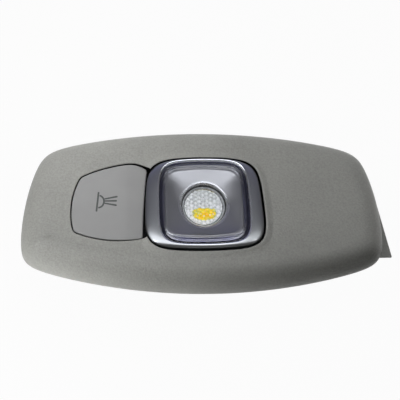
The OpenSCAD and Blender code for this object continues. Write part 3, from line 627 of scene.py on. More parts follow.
def solder_mask(name, rgb):
    """Board lacquer with copper tracks that show as a faint relief."""
    m = Recipe(name, rgb, 0.3, Coat_Weight=0.3)
    tracks = m.cells(3.1, "DISTANCE_TO_EDGE", 0.55)
    line = m.spread(tracks, 1, 0, 0.06, 0.09)
    m.mixed(line, rgb, shade(rgb, 1.9))
    m.rough(m.spread(m.noise(2, 2.0), 0.25, 0.4))
    m.bumps((line, 0.03))
    return m.material


def phosphor_gel(name, rgb):
    """Silicone gel with yellow phosphor and a painted glow, a little emitted light that brightens it."""
    m = Recipe(name, rgb, 0.35, Subsurface_Weight=0.2)
    m.mixed(m.spread(m.noise(0.35, 3.0), 0, 1), shade(rgb, 1.1), (rgb[0], rgb[1] * 0.75, rgb[2]))
    # Painted glow: the phosphor emits a little light of its own colour
    m.shader.inputs["Emission Color"].default_value = (*rgb, 1)
    m.shader.inputs["Emission Strength"].default_value = 0.35
    m.bumps((m.noise(0.3, 2.0), 0.03))
    return m.material


def dress(material, *nodes):
    """Puts a material on CAD nodes, whose meshes stay as they are."""
    for node in nodes:
        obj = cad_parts[node]
        if not obj.material_slots:
            obj.data.materials.append(material)
        for slot in obj.material_slots:
            slot.material = material


# Pieces, one operator each

class BezelOperator(bpy.types.Operator):
    """Moulded face with its rounded edge, its opening, tab, screw bosses and pins"""
    bl_idname = "reading_light.bezel"
    bl_label = "Bezel"

    def opening(self, s):
        """The ring's outline and the key's, each with its gap, joined where they meet."""
        ring, key, halvings, apart = s.ring_gap, s.key_gap, 40, 0.02

        def crossing(outline, other, inside, outside):
            for _ in range(halvings):
                middle = (inside + outside) / 2
                if other.outside(outline.at([middle]))[0] > 0:
                    outside = middle
                else:
                    inside = middle
            return outline.at([outside])

        angles = np.arange(-165, 165, 0.9)
        round_ring, round_key = ring.at(angles), key.at(np.arange(40, 330, 1.3))
        clear, free = key.outside(round_ring) > apart, ring.outside(round_key) > apart
        angles = angles[clear]
        low = crossing(ring, key, angles[0] - 3, angles[0])
        high = crossing(ring, key, angles[-1] + 3, angles[-1])
        return np.concatenate([low, round_ring[clear], high, round_key[free]])

    def execute(self, context):
        s, colours = Shapes(context.scene), context.scene.light_finish
        opening = self.opening(s)
        middle = np.array([(s.key.middle[0] - s.k.left + s.l.ring_hw) / 2, 0])
        half = (s.l.ring_hw - s.key.middle[0] + s.k.left) / 2
        tall = (s.f.top + s.f.bottom) / 2 / s.l.ring_hh
        wide = (s.f.left + s.f.right) / 2 / half
        spoke = (opening - middle) * [wide, tall]
        partner = np.degrees(np.arctan2(spoke[:, 1], spoke[:, 0]))
        edge = s.face.at(partner)
        tangent = s.face.at(partner + 0.5) - s.face.at(partner - 0.5)
        normal = np.stack([tangent[:, 1], -tangent[:, 0]], -1) / np.linalg.norm(tangent, axis=1)[:, None]
        rim, wall, collar = s.f.rim, s.f.wall, s.f.collar

        def inset(d):
            return edge - normal * d

        def edge_ring(a, deep=0):
            p = inset(deep + (s.f.edge - deep * 0.4) * (1 - math.cos(a)))
            return level(p, rim + (s.crown(p) - deep) * math.sin(a))

        plateau = inset(s.f.edge)
        inner_plateau = inset(s.f.edge + wall * 0.6)
        way = plateau - opening
        step = way / np.maximum(np.linalg.norm(way, axis=1), collar + 0.8)[:, None]

        def beside(e):
            return opening + step * e

        def on_face(p, drop=0):
            return level(p, s.face_z(p) - drop)

        lip, wall_z, under = 0.45, s.seat_z + 0.4, 1.5
        skirt_z = rim - s.f.skirt
        rings = [level(edge, skirt_z + 0.15), level(edge, rim - 0.4)]
        rings += [edge_ring(a) for a in sweep(0, 90, 19)]
        rings += [on_face(blend(plateau, beside(collar), t)) for t in (0.2, 0.4, 0.6, 0.8)]
        rings += [on_face(beside(e * collar)) for e in np.linspace(1, lip / collar, 12)]
        rings += [on_face(beside(lip * (1 - math.sin(a))), lip * (1 - math.cos(a)))
                  for a in sweep(0, 90, 7)[1:]]
        rings += [on_face(opening, lip + 0.06)]
        rings += [level(opening, wall_z + 0.2), level(opening, wall_z), level(beside(under), wall_z)]
        rings += [on_face(beside(under), wall)]
        rings += [on_face(blend(inner_plateau, beside(collar), t), wall) for t in (0.75, 0.5, 0.25)]
        rings += [edge_ring(a, wall) for a in sweep(90, 0, 10)]
        rings += [level(inset(wall), skirt_z), level(inset(0.15), skirt_z)]
        shell = skin("bezel_shell", rings)
        combine(shell, [*self.fixings(s), self.tab(s, skirt_z)])
        smooth(shell)
        p = points_mm(shell)
        off, near = np.abs([s.ring_gap.outside(p[:, :2]), s.key_gap.outside(p[:, :2])]).min(0), 0.03
        below_lip = p[:, 2] < s.face_z(p[:, :2]) - lip - near
        # Painted shade: the opening's walls below the lip are marked to be painted near black
        mark(shell, "gap", (off < near) & below_lip & (p[:, 2] > wall_z - 0.1))
        finish_piece(shell, grained_plastic("bezel_plastic", colours.bezel[:]), "housing", ["bezel"])
        return {"FINISHED"}

    def fixings(self, s):
        """Four screw bosses, and two locating pins, each on a rib."""
        rim = s.f.rim
        tray_x, tray_y, screw_inset = s.f.left - 12.8, s.f.bottom - 10.8, 6.8
        screw_x, screw_y = tray_x - screw_inset, tray_y - screw_inset
        boss_top = rim + float(s.crown(np.array([[screw_x, screw_y]]))[0]) - 1
        boss_r, hole_r, blind_z = 3.15, 1.5, boss_top - 1
        parts = []
        for x in (-screw_x, screw_x):
            for y in (-screw_y, screw_y):
                parts.append(lathe("boss", [
                    (0, blind_z), (hole_r * 0.4, blind_z), (hole_r, blind_z - 0.4), (hole_r, s.deck_z + 0.25),
                    (hole_r + 0.25, s.deck_z), (boss_r - 0.2, s.deck_z), (boss_r, s.deck_z + 0.2),
                    (boss_r, boss_top), (0, boss_top)], (x, y), 64))
        pin_x, pin_r, pin_l, half_rib = tray_x + 5.6, 2, 4, 8
        tip_z = rim - s.f.skirt - 3.5
        root_z = tip_z + pin_l
        stem_top = rim + float(s.crown(np.array([[pin_x, 0]]))[0]) - 2
        rib = [(1 - pin_r - 1.2, root_z + 1), (pin_r + 0.2, root_z + 1), (half_rib, stem_top - 2.5),
               (half_rib, stem_top), (-half_rib, stem_top), (-half_rib, stem_top - 2.5)]
        for x in (-pin_x, pin_x):
            parts.append(lathe("pin", [
                (0, tip_z), (pin_r - 0.4, tip_z), (pin_r, tip_z + 0.4), (pin_r, root_z), (pin_r + 1, root_z),
                (pin_r + 1.2, root_z + 0.2), (pin_r + 1.2, stem_top), (0, stem_top)], (x, 0), 64))
            parts.append(slab("rib", rib, 0, x, 1.2))
        return parts

    def tab(self, s, z):
        """Flat tab at the right end, with its lower corner square and its arris just broken."""
        upper, lower, reach = 5, -15.6, 5.35

        def root(a, d):
            return s.face.at([a])[0] + [d, 0]

        outline = [root(upper, 0.6), root(upper, -0.8), root(-5, -1), root(lower, -1), root(lower, reach)]
        tab = extrusion("tab", level(outline, z), level(outline, z + 1.2))
        bevel = tab.modifiers.new("Arris", "BEVEL")
        bevel.width = 0.18 * MM
        bevel.segments = 2
        return combine(tab, [])


class TrimRingOperator(bpy.types.Operator):
    """Satin ring round the lamp, on its four snap legs"""
    bl_idname = "reading_light.trim_ring"
    bl_label = "Trim ring"

    def execute(self, context):
        s, colours = Shapes(context.scene), context.scene.light_finish
        fit, lip = 0.15, 0.45
        outer, lip_start = s.ring.loop(), s.lens.loop(fit + lip)
        edge_z, crest_z = s.lamp_z - 0.3, s.lamp_z + 1.5

        def rise(t):
            """Height of the rounded profile, from its outer edge to the crest at the lip."""
            return edge_z + (crest_z - edge_z) * (0.25 * t + 0.75 * (1 - (1 - t) ** 2.2) ** 0.7)

        rings = [level(outer, s.ring_seat_z), level(outer, edge_z - 0.25)]
        rings += [level(blend(outer, lip_start, t), rise(t)) for t in np.linspace(0, 1, 30)[1:] ** 2]
        rings += stack(s.lens, [(fit + lip * (1 - math.sin(a)), crest_z - lip * (1 - math.cos(a)))
                                for a in sweep(15, 90, 6)])
        rings += stack(s.lens, [(fit, s.ring_seat_z + 0.1), (fit, s.ring_seat_z)])
        ring = skin("trim_ring_plated", rings)
        combine(ring, self.legs(s))
        smooth(ring, math.radians(50))
        p = points_mm(ring)
        from_lens = s.lens.outside(p[:, :2]) - fit
        lip_w, fade = 0.62, 0.12
        # Painted highlight: the lip's inner edge is marked to be painted lighter, as well as smoother
        mark(ring, "polish_and_painted_highlight", np.where(p[:, 2] > s.lamp_z, (lip_w - from_lens) / fade, 0))
        metal = satin_metal("satin_chrome", colours.chrome[:], 0.3, depth=0.0005, haze_share=0.02, painted_highlight_gain=2.4)
        finish_piece(ring, metal, "housing", ["trim_ring"])
        return {"FINISHED"}

    def legs(self, s):
        """Four snap legs with a hook at the foot of each."""
        leg_x, leg_y, leg_w, t = s.l.ring_hw - 2.3, 8, 4, 0.65
        top, foot = s.ring_seat_z + 0.3, s.deck_under
        profile = np.array([(-t, top), (-t, foot - 1.4), (0, foot - 1.4), (t + 0.7, foot - 0.5),
                            (t + 0.7, foot - 0.1), (t, foot - 0.1), (t, top)])
        return [slab("leg", (profile + [leg_x, 0]) * [side, 1], 1, y, leg_w)
                for side in (-1, 1) for y in (-leg_y, leg_y)]


class LensOperator(bpy.types.Operator):
    """Clear domed lens with a foot that the ring clamps"""
    bl_idname = "reading_light.lens"
    bl_label = "Lens"

    def execute(self, context):
        s, colours = Shapes(context.scene), context.scene.light_finish
        dome, wall_t, foot_w, edge_r, shoulder = 0.3, 1.2, 0.9, 0.45, 0.4
        flat = s.lens_z - dome
        under = flat - s.l.lens_t
        centre = np.broadcast_to(s.lens.middle, (ROUND, 2))

        def cap(f, z):
            return level(blend(centre, s.lens.loop(-shoulder), f), z + dome * (1 - f * f))

        def groove(inset, half, deep, count):
            return [(inset - half * math.cos(a), deep * math.sin(a)) for a in sweep(0, 180, count)]

        rings = [cap(f, under) for f in (0.05, 0.15, 0.3, 0.45, 0.6, 0.75, 0.88)]
        rings += stack(s.lens, [
            (-wall_t - 0.25, under), (-wall_t - 0.07, under - 0.07), (-wall_t, under - 0.25),
            (-wall_t, s.flange_z), (foot_w, s.flange_z), (foot_w, s.ring_seat_z),
            (0, s.ring_seat_z), (0, flat - edge_r)])
        rings += stack(s.lens, [(-edge_r * (1 - math.cos(a)), flat - edge_r * (1 - math.sin(a)))
                                for a in sweep(15, 90, 6)])
        rings += stack(s.lens, [(-d, flat + dome * (1 - (1 - (d - shoulder) / s.l.lens_hw) ** 2) - deep)
                                for d, deep in groove(1.25, 0.45, 0.3, 13) + groove(2.75, 0.3, 0.18, 11)])
        rings += [cap(f, flat) for f in (0.8, 0.7, 0.6, 0.45, 0.3, 0.15, 0.05)]
        lens = skin("lens_clear", rings, lids=True)
        smooth(lens)
        finish_piece(lens, clear_plastic("clear_acrylic", colours.lens[:]), "housing", ["lens"])
        return {"FINISHED"}


class ReflectorOperator(bpy.types.Operator):
    """Metallised funnel from the square mouth to the round eye"""
    bl_idname = "reading_light.reflector"
    bl_label = "Reflector"

    def execute(self, context):
        s, colours = Shapes(context.scene), context.scene.light_finish
        eye_z, bottom_z, roll, foot_w = s.pan_z - 2.3, s.optic_seat_z + 1, 1.2, 0.9
        ridge, half_ridge, ridge_h, edge_r = 1.2, 0.45, 0.35, 0.4
        rim = s.pan.loop(0)
        mouth = circle(s.eye, s.l.eye_r + roll)
        rings = stack(s.lens, [(foot_w, s.seat_z), (foot_w, s.flange_z)])
        rings += stack(s.pan, [(ridge + half_ridge * math.cos(a), s.flange_z + ridge_h * math.sin(a))
                               for a in sweep(0, 180, 11)])
        rings += stack(s.pan, [(0.5 - edge_r * math.sin(a), s.pan_z - edge_r * (1 - math.cos(a)))
                               for a in sweep(-90, 65, 10)])
        for t in np.linspace(0.05, 0.96, 18):
            rings.append(level(blend(rim, mouth, t), s.pan_z - (s.pan_z - eye_z) * (1.15 * t - 0.15 * t * t)))
        rings += [level(circle(s.eye, s.l.eye_r + roll * (1 - math.sin(a))), eye_z - roll * (1 - math.cos(a)))
                  for a in sweep(0, 90, 10)]
        rings += [level(circle(s.eye, r), bottom_z) for r in (s.l.eye_r, s.l.eye_r + 0.9)]
        rings += stack(s.pan, [(-1, s.pan_z - 1.5), (-0.4, s.seat_z)])
        pan = skin("reflector_pan", rings)
        smooth(pan, math.radians(55))
        self.mark_polish(s, pan, s.l.eye_r + roll)
        metal = satin_metal("satin_metallised", colours.reflector[:], 0.33, depth=0.0008,
                            outer=colours.reflector_rim[:], painted_highlight_gain=2.3)
        finish_piece(pan, metal, "housing", ["reflector"])
        return {"FINISHED"}

    def mark_polish(self, s, pan, roll_r):
        """Marks the band round the mouth, and the corners of its ridge and the rolled rim, which are made
        smoother and painted lighter so that they shine: painted glints and highlights.
        """
        p, half_w, half_h = points_mm(pan), 17, 13.5
        from_mouth = s.pan.outside(p[:, :2])
        mark(pan, "outside", (from_mouth - 0.75) / 0.1)
        # Painted glints: the ridge is marked to be lighter only near its corners
        corner = np.clip(np.abs(p[:, 0] / half_w * p[:, 1] / half_h) * 4 - 2.6, 0, 1)
        ridge = corner * ((p[:, 2] - s.flange_z > 0.04) & (from_mouth > 0.7))
        # Painted highlight: the rolled rim round the eye is marked to be lighter
        rolled = np.clip((roll_r + 0.1 - np.hypot(*(p[:, :2] - s.eye).T)) / 0.3, 0, 0.5)
        mark(pan, "polish_and_painted_highlight", np.maximum(ridge, rolled))


def nearest_lenslet(x, y, cell):
    """The middle of the lenslet that each point lies in, and the point's distance from it."""
    tall = cell * math.sqrt(3)
    column = np.round(x / cell / 3)
    middle_x, middle_y, nearest = 0, 0, np.inf
    for m in (column - 1, column, column + 1):
        n = np.round((y / tall - m) / 2)
        at_x, at_y = 3 * cell * m, tall * (m + 2 * n)
        apart = np.hypot(x - at_x, y - at_y)
        closer = apart < nearest
        middle_x, middle_y = np.where(closer, at_x, middle_x), np.where(closer, at_y, middle_y)
        nearest = np.where(closer, apart, nearest)
    return middle_x, middle_y, nearest


class BeamLensOperator(bpy.types.Operator):
    """Round lens that gathers the LED's light, with a front of small hexagonal lenses"""
    bl_idname = "reading_light.beam_lens"
    bl_label = "Beam lens"

    def lenslets(self, s, front_r, front_z):
        """A closed sheet of lenslets on a fine grid that keeps every edge between them."""
        fine, bulge, below = s.cell / 3, 0.42, 0.4
        row = fine * math.sqrt(3) / 2
        rows, columns = int(front_r / row) + 3, int(front_r / fine) + 3
        k, i = np.mgrid[-rows:rows + 1, -columns:columns + 1]
        x, y = (i + 0.5 * (k % 2)) * fine, k * row
        nearest = nearest_lenslet(x, y, s.cell)[2]
        z = front_z + bulge * (1 - (nearest / s.cell / 2) ** 2)
        top = np.stack([x, y, z], -1).reshape(-1, 3)
        wide = 2 * columns + 1
        faces = []
        for r in range(2 * rows):
            for c in range(wide - 1):
                a = r * wide + c
                b, d, e = a + 1, a + wide, a + wide + 1
                faces += [(a, b, d), (b, e, d)] if (r - rows) % 2 == 0 else [(a, b, e), (a, e, d)]
        last = 2 * rows * wide
        border = [*range(wide - 1), *range(wide - 1, last + wide - 1, wide),
                  *range(last + wide - 1, last, -1), *range(last, 0, -wide)]
        low = top[border] * [1, 1, 0] + [0, 0, front_z - below]
        points = np.vstack([top, low])
        o, n = len(top), len(border)
        faces += [(border[j], o + j, o + (j + 1) % n, border[(j + 1) % n]) for j in range(n)]
        faces.append(tuple(range(o, o + n))[::-1])
        points[:, :2] += s.front
        return mesh_object("lenslets", points, faces)

    def execute(self, context):
        s, colours = Shapes(context.scene), context.scene.light_finish
        foot_z, seat_z = s.board_z + 1.9, s.optic_seat_z
        front_z, front_r, cone_r = seat_z + 0.9, s.l.optic_r - 1.05, s.l.optic_r - 0.9
        pocket, foot_r, r = 2.7, 3.5, s.l.optic_r
        profile = [(0, foot_z + 3), (pocket * 0.5, foot_z + 3),
                   (pocket - 0.3, foot_z + 2.9), (pocket, foot_z)]
        for t in np.linspace(0, 1, 15):
            flare = 1.3 * t - 0.3 * t * t
            profile.append((foot_r + (cone_r - foot_r) * flare, foot_z + (seat_z - foot_z) * t))
        profile += [(r, seat_z), (r, front_z - 0.15), (r - 0.05, front_z - 0.04),
                    (r - 0.15, front_z), (0, front_z)]
        optic = lathe("beam_lens_optic", profile, s.eye, 192)
        sheet = self.lenslets(s, front_r, front_z)
        disc = lathe("disc", [(0, front_z - 1), (front_r, front_z - 1),
                              (front_r, front_z + 2), (0, front_z + 2)], s.front, 192)
        combine(sheet, [disc], "INTERSECT")
        combine(optic, [sheet])
        smooth(optic, math.radians(12))
        self.mark_lenslets(s, optic, front_r, front_z)
        acrylic = lenslet_plastic("beam_acrylic", colours.optic[:], colours.phosphor[:])
        finish_piece(optic, acrylic, "housing", ["beam_lens"])
        return {"FINISHED"}

    def mark_lenslets(self, s, optic, front_r, front_z):
        """Notes on each point of the front where it lies in its lenslet and how much of the phosphor's
        painted image shows there.
        """
        p = points_mm(optic) - [*s.front, 0]

        def patch(x, y):
            """The phosphor's painted image: wide, flat at the top, fading at its sides."""
            across, up = np.abs(x - 0.3) / 5.2, (y + 3.2) / 2.8
            return np.clip(1.15 - across ** 2 - np.abs(up) ** np.where(up > 0, 8.0, 3.0), -0.5, 1.15)

        middle_x, middle_y, nearest = nearest_lenslet(p[:, 0], p[:, 1], s.cell)
        # seen is the share of the painted phosphor image on each point
        seen = 0.25 * patch(middle_x, middle_y) + 0.75 * patch(p[:, 0], p[:, 1])
        front = (p[:, 2] > front_z + 0.002) & (np.hypot(p[:, 0], p[:, 1]) < front_r + 0.01)
        edge = np.hypot(*(p[:, :2] + s.front - s.eye).T) > s.l.optic_r - 0.2
        milky = np.where(front, 1, 0.7 * (edge & (p[:, 2] > front_z - 0.3)))
        mark(optic, "lenslet", milky)
        # rim and height feed the painted shade on the lenslets' edges and upper part
        mark(optic, "rim", nearest / s.cell)
        mark(optic, "height", 0.5 + p[:, 1] / front_r / 2)
        mark(optic, "seen", np.clip(seen, 0, 1) * front)


class PressKeyOperator(bpy.types.Operator):
    """Press key with its sloping facet, pivot pins and post"""
    bl_idname = "reading_light.press_key"
    bl_label = "Press key"

    def execute(self, context):
        s, colours = Shapes(context.scene), context.scene.light_finish
        wall, lip, draft, foot_z, key, n = 1.4, 0.5, 0.25, s.deck_z + 2, s.key, 360

        def below_top(p, drop):
            return level(p, s.key_z - s.key_drop(p) - drop)

        def edge(g, drop):
            return below_top(key.loop(g, n), drop)

        def field(g, f, drop):
            return below_top(blend(np.broadcast_to(key.middle, (n, 2)), key.loop(g, n), f), drop)

        rings = [field(-wall, f, wall + 0.4) for f in (0.1, 0.3, 0.5, 0.7, 0.85, 1)]
        rings += [level(key.loop(-draft - wall, n), foot_z), level(key.loop(-draft, n), foot_z)]
        rings += [edge(0, 0.8), edge(0, 0.7)]
        rings += [edge(-lip * (1 - math.cos(a)), lip * (1 - math.sin(a))) for a in sweep(0, 90, 7)]
        rings += [field(-lip, f, 0) for f in np.linspace(0.97, 0.04, 44)]
        top = skin("press_key_cap", rings, lids=True)
        pivot_x, pivot_z, pivot_r, bearing = key.middle[0] + 10.6, s.lamp_z - 6.6, 1.4, 2.2
        post, post_r, post_z = key.middle + [-4, 0], 2.4, foot_z + 1.8
        post_top = s.key_z - wall
        parts = [lathe("post", [
            (0, post_z), (post_r - 0.3, post_z), (post_r, post_z + 0.3), (post_r, post_top),
            (0, post_top)], post, 64)]
        for root_way, tip_way, side in ((57, 65, 1), (-57, -65, -1)):
            y0 = key.at([root_way])[0, 1] - 1.2 * side
            y1 = key.at([tip_way])[0, 1] + (0.35 + bearing) * side
            parts.append(pin_along_y("pin", pivot_x, pivot_z, min(y0, y1), max(y0, y1), pivot_r))
        combine(top, parts)
        smooth(top)
        p = points_mm(top)
        # Painted shade: the key's side wall below its top is marked to be painted near black
        mark(top, "gap", (np.abs(key.outside(p[:, :2])) < 0.3) & (p[:, 2] < s.key_z - s.key_drop(p) - 0.75))
        finish_piece(top, smooth_plastic("key_plastic", colours.key[:]), "key", ["press_key"])
        return {"FINISHED"}


class KeySymbolOperator(bpy.types.Operator):
    """Printed lamp symbol on the key: a bar, a shade and three rays"""
    bl_idname = "reading_light.key_symbol"
    bl_label = "Key symbol"

    def stroke(self, s, path, widths, name):
        """A thin printed stroke along a path, with its own width at each point."""
        path = np.array(path, float)
        heading = np.gradient(path, axis=0)
        heading /= np.linalg.norm(heading, axis=1)[:, None]
        side = np.stack([-heading[:, 1], heading[:, 0]], -1) * np.array(widths)[:, None] / 2
        ends = []
        for i, sign in ((-1, 1), (0, -1)):
            point, way, half = path[i], heading[i], widths[i] / 2
            across = np.array([-way[1], way[0]]) * sign
            ends.append([point + half * (math.cos(a) * -across + math.sin(a) * way * sign)
                         for a in sweep(30, 150, 5)])
        outline = np.vstack([path - side, ends[0], (path + side)[::-1], ends[1]])
        surface, half_ink = s.key_z - s.key_drop(outline), 0.02
        return extrusion(name, level(outline, surface + half_ink), level(outline, surface - half_ink))

    def execute(self, context):
        s, colours = Shapes(context.scene), context.scene.light_finish
        ink = printed_ink("symbol_ink", colours.symbol[:])
        w = s.k.symbol
        across, along, middle = np.array([(0.9933, -0.1150), (0.1150, 0.9933), (-44.48, 1.10)])
        strokes = {"symbol_bar": ([middle + along * d for d in (4.1, 0, -4.1)], [w] * 3)}
        shade_r, bulge = 2.75, 2.3
        curve = [middle + along * (0.1 + shade_r * math.cos(a)) + across * (0.35 + bulge * math.sin(a))
                 for a in sweep(12, 168, 15)]
        strokes["symbol_shade"] = (curve, [w] * 15)
        rays = (((-41.35, 2.35), (-36.5, 3.3)), ((-41.3, 1.4), (-36.8, 1.42)),
                ((-41.35, 0.35), (-36.9, -0.55)))
        for i, (start, end) in enumerate(rays):
            line = [blend(np.array(start), np.array(end), t) for t in (0, 0.5, 1)]
            strokes[f"symbol_ray_{i + 1}"] = (line, [w * 0.85, w * 0.95, w * 1.1])
        for name, (path, widths) in strokes.items():
            finish_piece(self.stroke(s, path, widths, name), ink, "key")
        return {"FINISHED"}


class HousingOperator(bpy.types.Operator):
    """Finishes of the carrier, the cover, the connector, the clips and the screws"""
    bl_idname = "reading_light.housing"
    bl_label = "Housing"

    def execute(self, context):
        colours = context.scene.light_finish
        black = grained_plastic("black_housing", colours.black[:], roughness=0.55, depth=0.04, specular=0.4)
        dress(black, "carrier", "back_cover")
        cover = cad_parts["back_cover"]
        joined = cover.modifiers.new("Joined edges", "WELD")
        joined.merge_threshold = 0.002 * MM
        rounding = cover.modifiers.new("Moulded edge", "BEVEL")
        rounding.width, rounding.segments = 0.8 * MM, 3
        rounding.use_clamp_overlap = False
        rounding.limit_method, rounding.angle_limit = "ANGLE", math.radians(50)
        nylon = grained_plastic("connector_nylon", (0.03, 0.03, 0.034), roughness=0.45, grain=0.3, depth=0.02)
        dress(nylon, "connector_shroud")
        zinc = satin_metal("zinc_steel", colours.steel[:], 0.32, brush=(1, 6, 1), depth=0.006)
        dress(zinc, "housing_screws", "board_screws")
        strip = satin_metal("spring_steel", colours.steel[:], 0.24, brush=(0.3, 4, 4), depth=0.005)
        dress(strip, "spring_clip_upper", "spring_clip_lower")
        return {"FINISHED"}


class ElectronicsOperator(bpy.types.Operator):
    """Finishes of the board, the LED, the driver parts, the switch and the contacts"""
    bl_idname = "reading_light.electronics"
    bl_label = "Electronics"

    def execute(self, context):
        colours = context.scene.light_finish
        dress(solder_mask("green_mask", colours.board[:]), "circuit_board")
        dress(phosphor_gel("phosphor_gel", colours.phosphor[:]), "led_phosphor")
        for name, rgb, roughness, depth, node in (
                ("white_ceramic", (0.80, 0.79, 0.75), 0.5, 0.01, "led_base"),
                ("tan_ceramic", (0.38, 0.24, 0.08), 0.35, 0.006, "capacitor"),
                ("switch_nylon", (0.60, 0.60, 0.57), 0.45, 0.01, "switch_body"),
                ("white_acetal", (0.82, 0.81, 0.77), 0.35, 0.006, "switch_plunger")):
            dress(smooth_plastic(name, rgb, roughness, depth), node)
        for name, rgb, roughness, grain, depth, nodes in (
                ("chip_compound", (0.012, 0.012, 0.013), 0.5, 0.15, 0.01, ["driver_chip"]),
                ("ferrite", (0.04, 0.04, 0.042), 0.55, 0.2, 0.015, ["inductor"]),
                ("resistor_body", (0.02, 0.02, 0.025), 0.4, 0.12, 0.006,
                 [f"resistor_{i}" for i in (1, 2, 3)])):
            dress(grained_plastic(name, rgb, roughness, grain, depth), *nodes)
        gold = satin_metal("gold_contact", (0.80, 0.60, 0.26), 0.22, brush=(1, 5, 1), depth=0.002)
        dress(gold, *[f"contact_{i}" for i in (1, 2, 3, 4)])
        return {"FINISHED"}


class StageOperator(bpy.types.Operator):
    """Camera at the photograph's angle, soft lamps, pale walls and floor"""
    bl_idname = "reading_light.stage"
    bl_label = "Stage"

    def execute(self, context):
        scene, stage = context.scene, context.scene.light_stage
        self.camera(scene, stage)
        self.lamps(scene, stage)
        self.world(scene, stage)
        self.floor(stage)
        scene.view_settings.view_transform = "Standard"
        return {"FINISHED"}

    def camera(self, scene, stage):
        """The camera stands low on the key's side and leans a little, as the outline shows."""
        back = Vector((math.tan(stage.side_view), -1 / math.tan(stage.elevation), 1)).normalized()
        right = Vector((0, 1, 0)).cross(back).normalized()
        up = back.cross(right)
        lean = stage.lean
        right, up = right * math.cos(lean) + up * math.sin(lean), up * math.cos(lean) - right * math.sin(lean)
        place = Vector((0, 0, stage.target)) + back * stage.distance
        data = bpy.data.cameras.new("photo_camera")
        data.lens, data.sensor_width = stage.lens, 36
        data.shift_x, data.shift_y = stage.shift
        camera = bpy.data.objects.new("photo_camera", data)
        camera.matrix_world = Matrix((
            (right.x, up.x, back.x, place.x), (right.y, up.y, back.y, place.y),
            (right.z, up.z, back.z, place.z), (0, 0, 0, 1)))
        scene.collection.objects.link(camera)
        scene.camera = camera

    def soft_box(self, scene, name, place, aim, size, power, tint=(1, 1, 1)):
        """A flat lamp at a place, turned to face another."""
        data = bpy.data.lights.new(name, "AREA")
        data.shape, data.size, data.size_y = "RECTANGLE", size[0], size[1]
        data.energy, data.color = power, tint
        lamp = bpy.data.objects.new(name, data)
        lamp.location = place
        lamp.rotation_mode = "QUATERNION"
        lamp.rotation_quaternion = (Vector(place) - Vector(aim)).to_track_quat("Z", "Y")
        scene.collection.objects.link(lamp)
        return lamp

    def lamps(self, scene, stage):
        """Small lamps close by light the plastic; boxes and cores above shine in metal and clear pieces."""
        middle, small, core, tilt = (0, 0, 0.02), (0.12, 0.12), (0.05, 0.05), 0.0001
        for name, place, share in (
                ("near_lamp", (-0.075, 0.065, 0.11), 0.12), ("upper_lamp", (-0.05, 0.02, 0.15), 0.04),
                ("end_lamp", (0.15, 0.07, 0.12), 0.095), ("low_lamp", (-0.10, -0.10, 0.010), 0.21)):
            lamp = self.soft_box(scene, name, place, middle, small, stage.near * share)
            lamp.visible_camera = lamp.visible_glossy = lamp.visible_transmission = False
        for name, place, size, power, tint in (
                ("left_box", (-0.21, -0.135, 0.45), (0.82, 0.40), stage.left_box, (0.97, 0.99, 1)),
                ("right_box", (0.41, -0.115, 0.45), (0.42, 0.40), stage.right_box, (0.97, 1, 0.99))):
            under = (place[0], place[1] + tilt, 0)
            self.soft_box(scene, name, place, under, size, power, tint).visible_diffuse = False
        for name, place, power in (("left_core", (-0.40, -0.26, 0.40), stage.cores),
                                   ("right_core", (0.42, -0.22, 0.40), stage.cores * 0.3)):
            self.soft_box(scene, name, place, middle, core, power).visible_diffuse = False

    def world(self, scene, stage):
        """Dim walls, bluer behind the object, and white where the camera looks past the floor."""
        world = bpy.data.worlds.new("pale_room")
        world.use_nodes = True
        scene.world = world
        tree = world.node_tree
        tree.nodes.clear()
        coords = add_node(tree, "ShaderNodeTexCoord").outputs["Generated"]
        parts = add_node(tree, "ShaderNodeSeparateXYZ", {0: coords})
        ramp = add_node(tree, "ShaderNodeValToRGB", {"Fac": parts.outputs["Y"]})
        front, back = ramp.color_ramp.elements
        front.position, front.color = 0.3, (0.36, 0.35, 0.32, 1)
        back.position, back.color = 0.9, (1.2, 1.2, 1.7, 1)
        rays = add_node(tree, "ShaderNodeLightPath").outputs
        strength = add_node(tree, "ShaderNodeMapRange", {
            "Value": rays["Is Diffuse Ray"], "To Min": stage.world, "To Max": stage.fill}).outputs["Result"]
        dim = add_node(tree, "ShaderNodeBackground", {"Color": ramp.outputs["Color"], "Strength": strength})
        white = add_node(tree, "ShaderNodeBackground", {"Color": (0.97, 0.97, 0.97, 1)})
        walls = add_node(tree, "ShaderNodeMixShader", {
            "Fac": rays["Is Camera Ray"], 1: dim.outputs[0], 2: white.outputs[0]})
        add_node(tree, "ShaderNodeOutputWorld", {"Surface": walls.outputs[0]})

    def floor(self, stage):
        """A wide matt floor that looks evenly white to the camera, in mirrors and through clear pieces."""
        half, z, whiteness = 6.0, -0.0002, 0.965
        corners = [(-half, -half, z), (half, -half, z), (half, half, z), (-half, half, z)]
        floor = mesh_object("floor", np.array(corners) / MM, [(0, 1, 2, 3)])
        material = bpy.data.materials.new("pale_floor")
        material.use_nodes = True
        tree = material.node_tree
        tree.nodes.clear()

        def maths(operation, a, b, **settings):
            return add_node(tree, "ShaderNodeMath", {0: a, 1: b}, operation=operation, **settings).outputs[0]

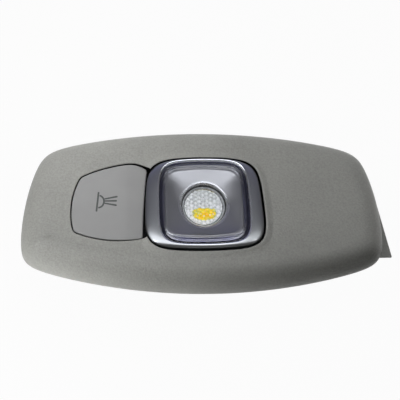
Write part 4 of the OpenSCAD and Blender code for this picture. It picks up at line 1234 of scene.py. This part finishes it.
        rays = add_node(tree, "ShaderNodeLightPath").outputs
        straight = maths("ADD", rays["Is Camera Ray"], rays["Is Glossy Ray"])
        seen = maths("ADD", straight, rays["Is Transmission Ray"], use_clamp=True)
        matte = add_node(tree, "ShaderNodeBsdfDiffuse", {"Color": (*stage.floor, 1)})
        white = add_node(tree, "ShaderNodeEmission")
        mixed = add_node(tree, "ShaderNodeMixShader", {
            "Fac": maths("MULTIPLY", seen, whiteness), 1: matte.outputs[0], 2: white.outputs[0]})
        add_node(tree, "ShaderNodeOutputMaterial", {"Surface": mixed.outputs[0]})
        floor.data.materials.append(material)


OPERATORS = (
    BezelOperator, TrimRingOperator, LensOperator, ReflectorOperator, BeamLensOperator, PressKeyOperator,
    KeySymbolOperator, HousingOperator, ElectronicsOperator, StageOperator,
)


class ReadingLightPanel(bpy.types.Panel):
    """Lists the pieces in the order in which they are built"""
    bl_idname = "VIEW3D_PT_reading_light"
    bl_label = "Reading light"
    bl_space_type = "VIEW_3D"
    bl_region_type = "UI"
    bl_category = "Reading light"

    def draw(self, context):
        column = self.layout.column(align=True)
        for operator in OPERATORS:
            column.operator(operator.bl_idname)
        for group in ("light_face", "light_lamp", "light_key", "light_finish", "light_stage"):
            settings = getattr(context.scene, group)
            box = self.layout.box()
            for name in settings.__annotations__:
                box.prop(settings, name)


GROUPS = {"light_face": FaceSizes, "light_lamp": LampSizes, "light_key": KeySizes,
          "light_finish": Finishes, "light_stage": StageSettings}


def register():
    for group in GROUPS.values():
        bpy.utils.register_class(group)
    for operator in OPERATORS:
        bpy.utils.register_class(operator)
    bpy.utils.register_class(ReadingLightPanel)
    for name, group in GROUPS.items():
        setattr(bpy.types.Scene, name, PointerProperty(type=group))


def unregister():
    for name in GROUPS:
        delattr(bpy.types.Scene, name)
    bpy.utils.unregister_class(ReadingLightPanel)
    for operator in reversed(OPERATORS):
        bpy.utils.unregister_class(operator)
    for group in reversed(GROUPS.values()):
        bpy.utils.unregister_class(group)


def main():
    register()
    for operator in OPERATORS:
        group, name = operator.bl_idname.split(".")
        getattr(getattr(bpy.ops, group), name)()


if __name__ == "__main__":
    main()
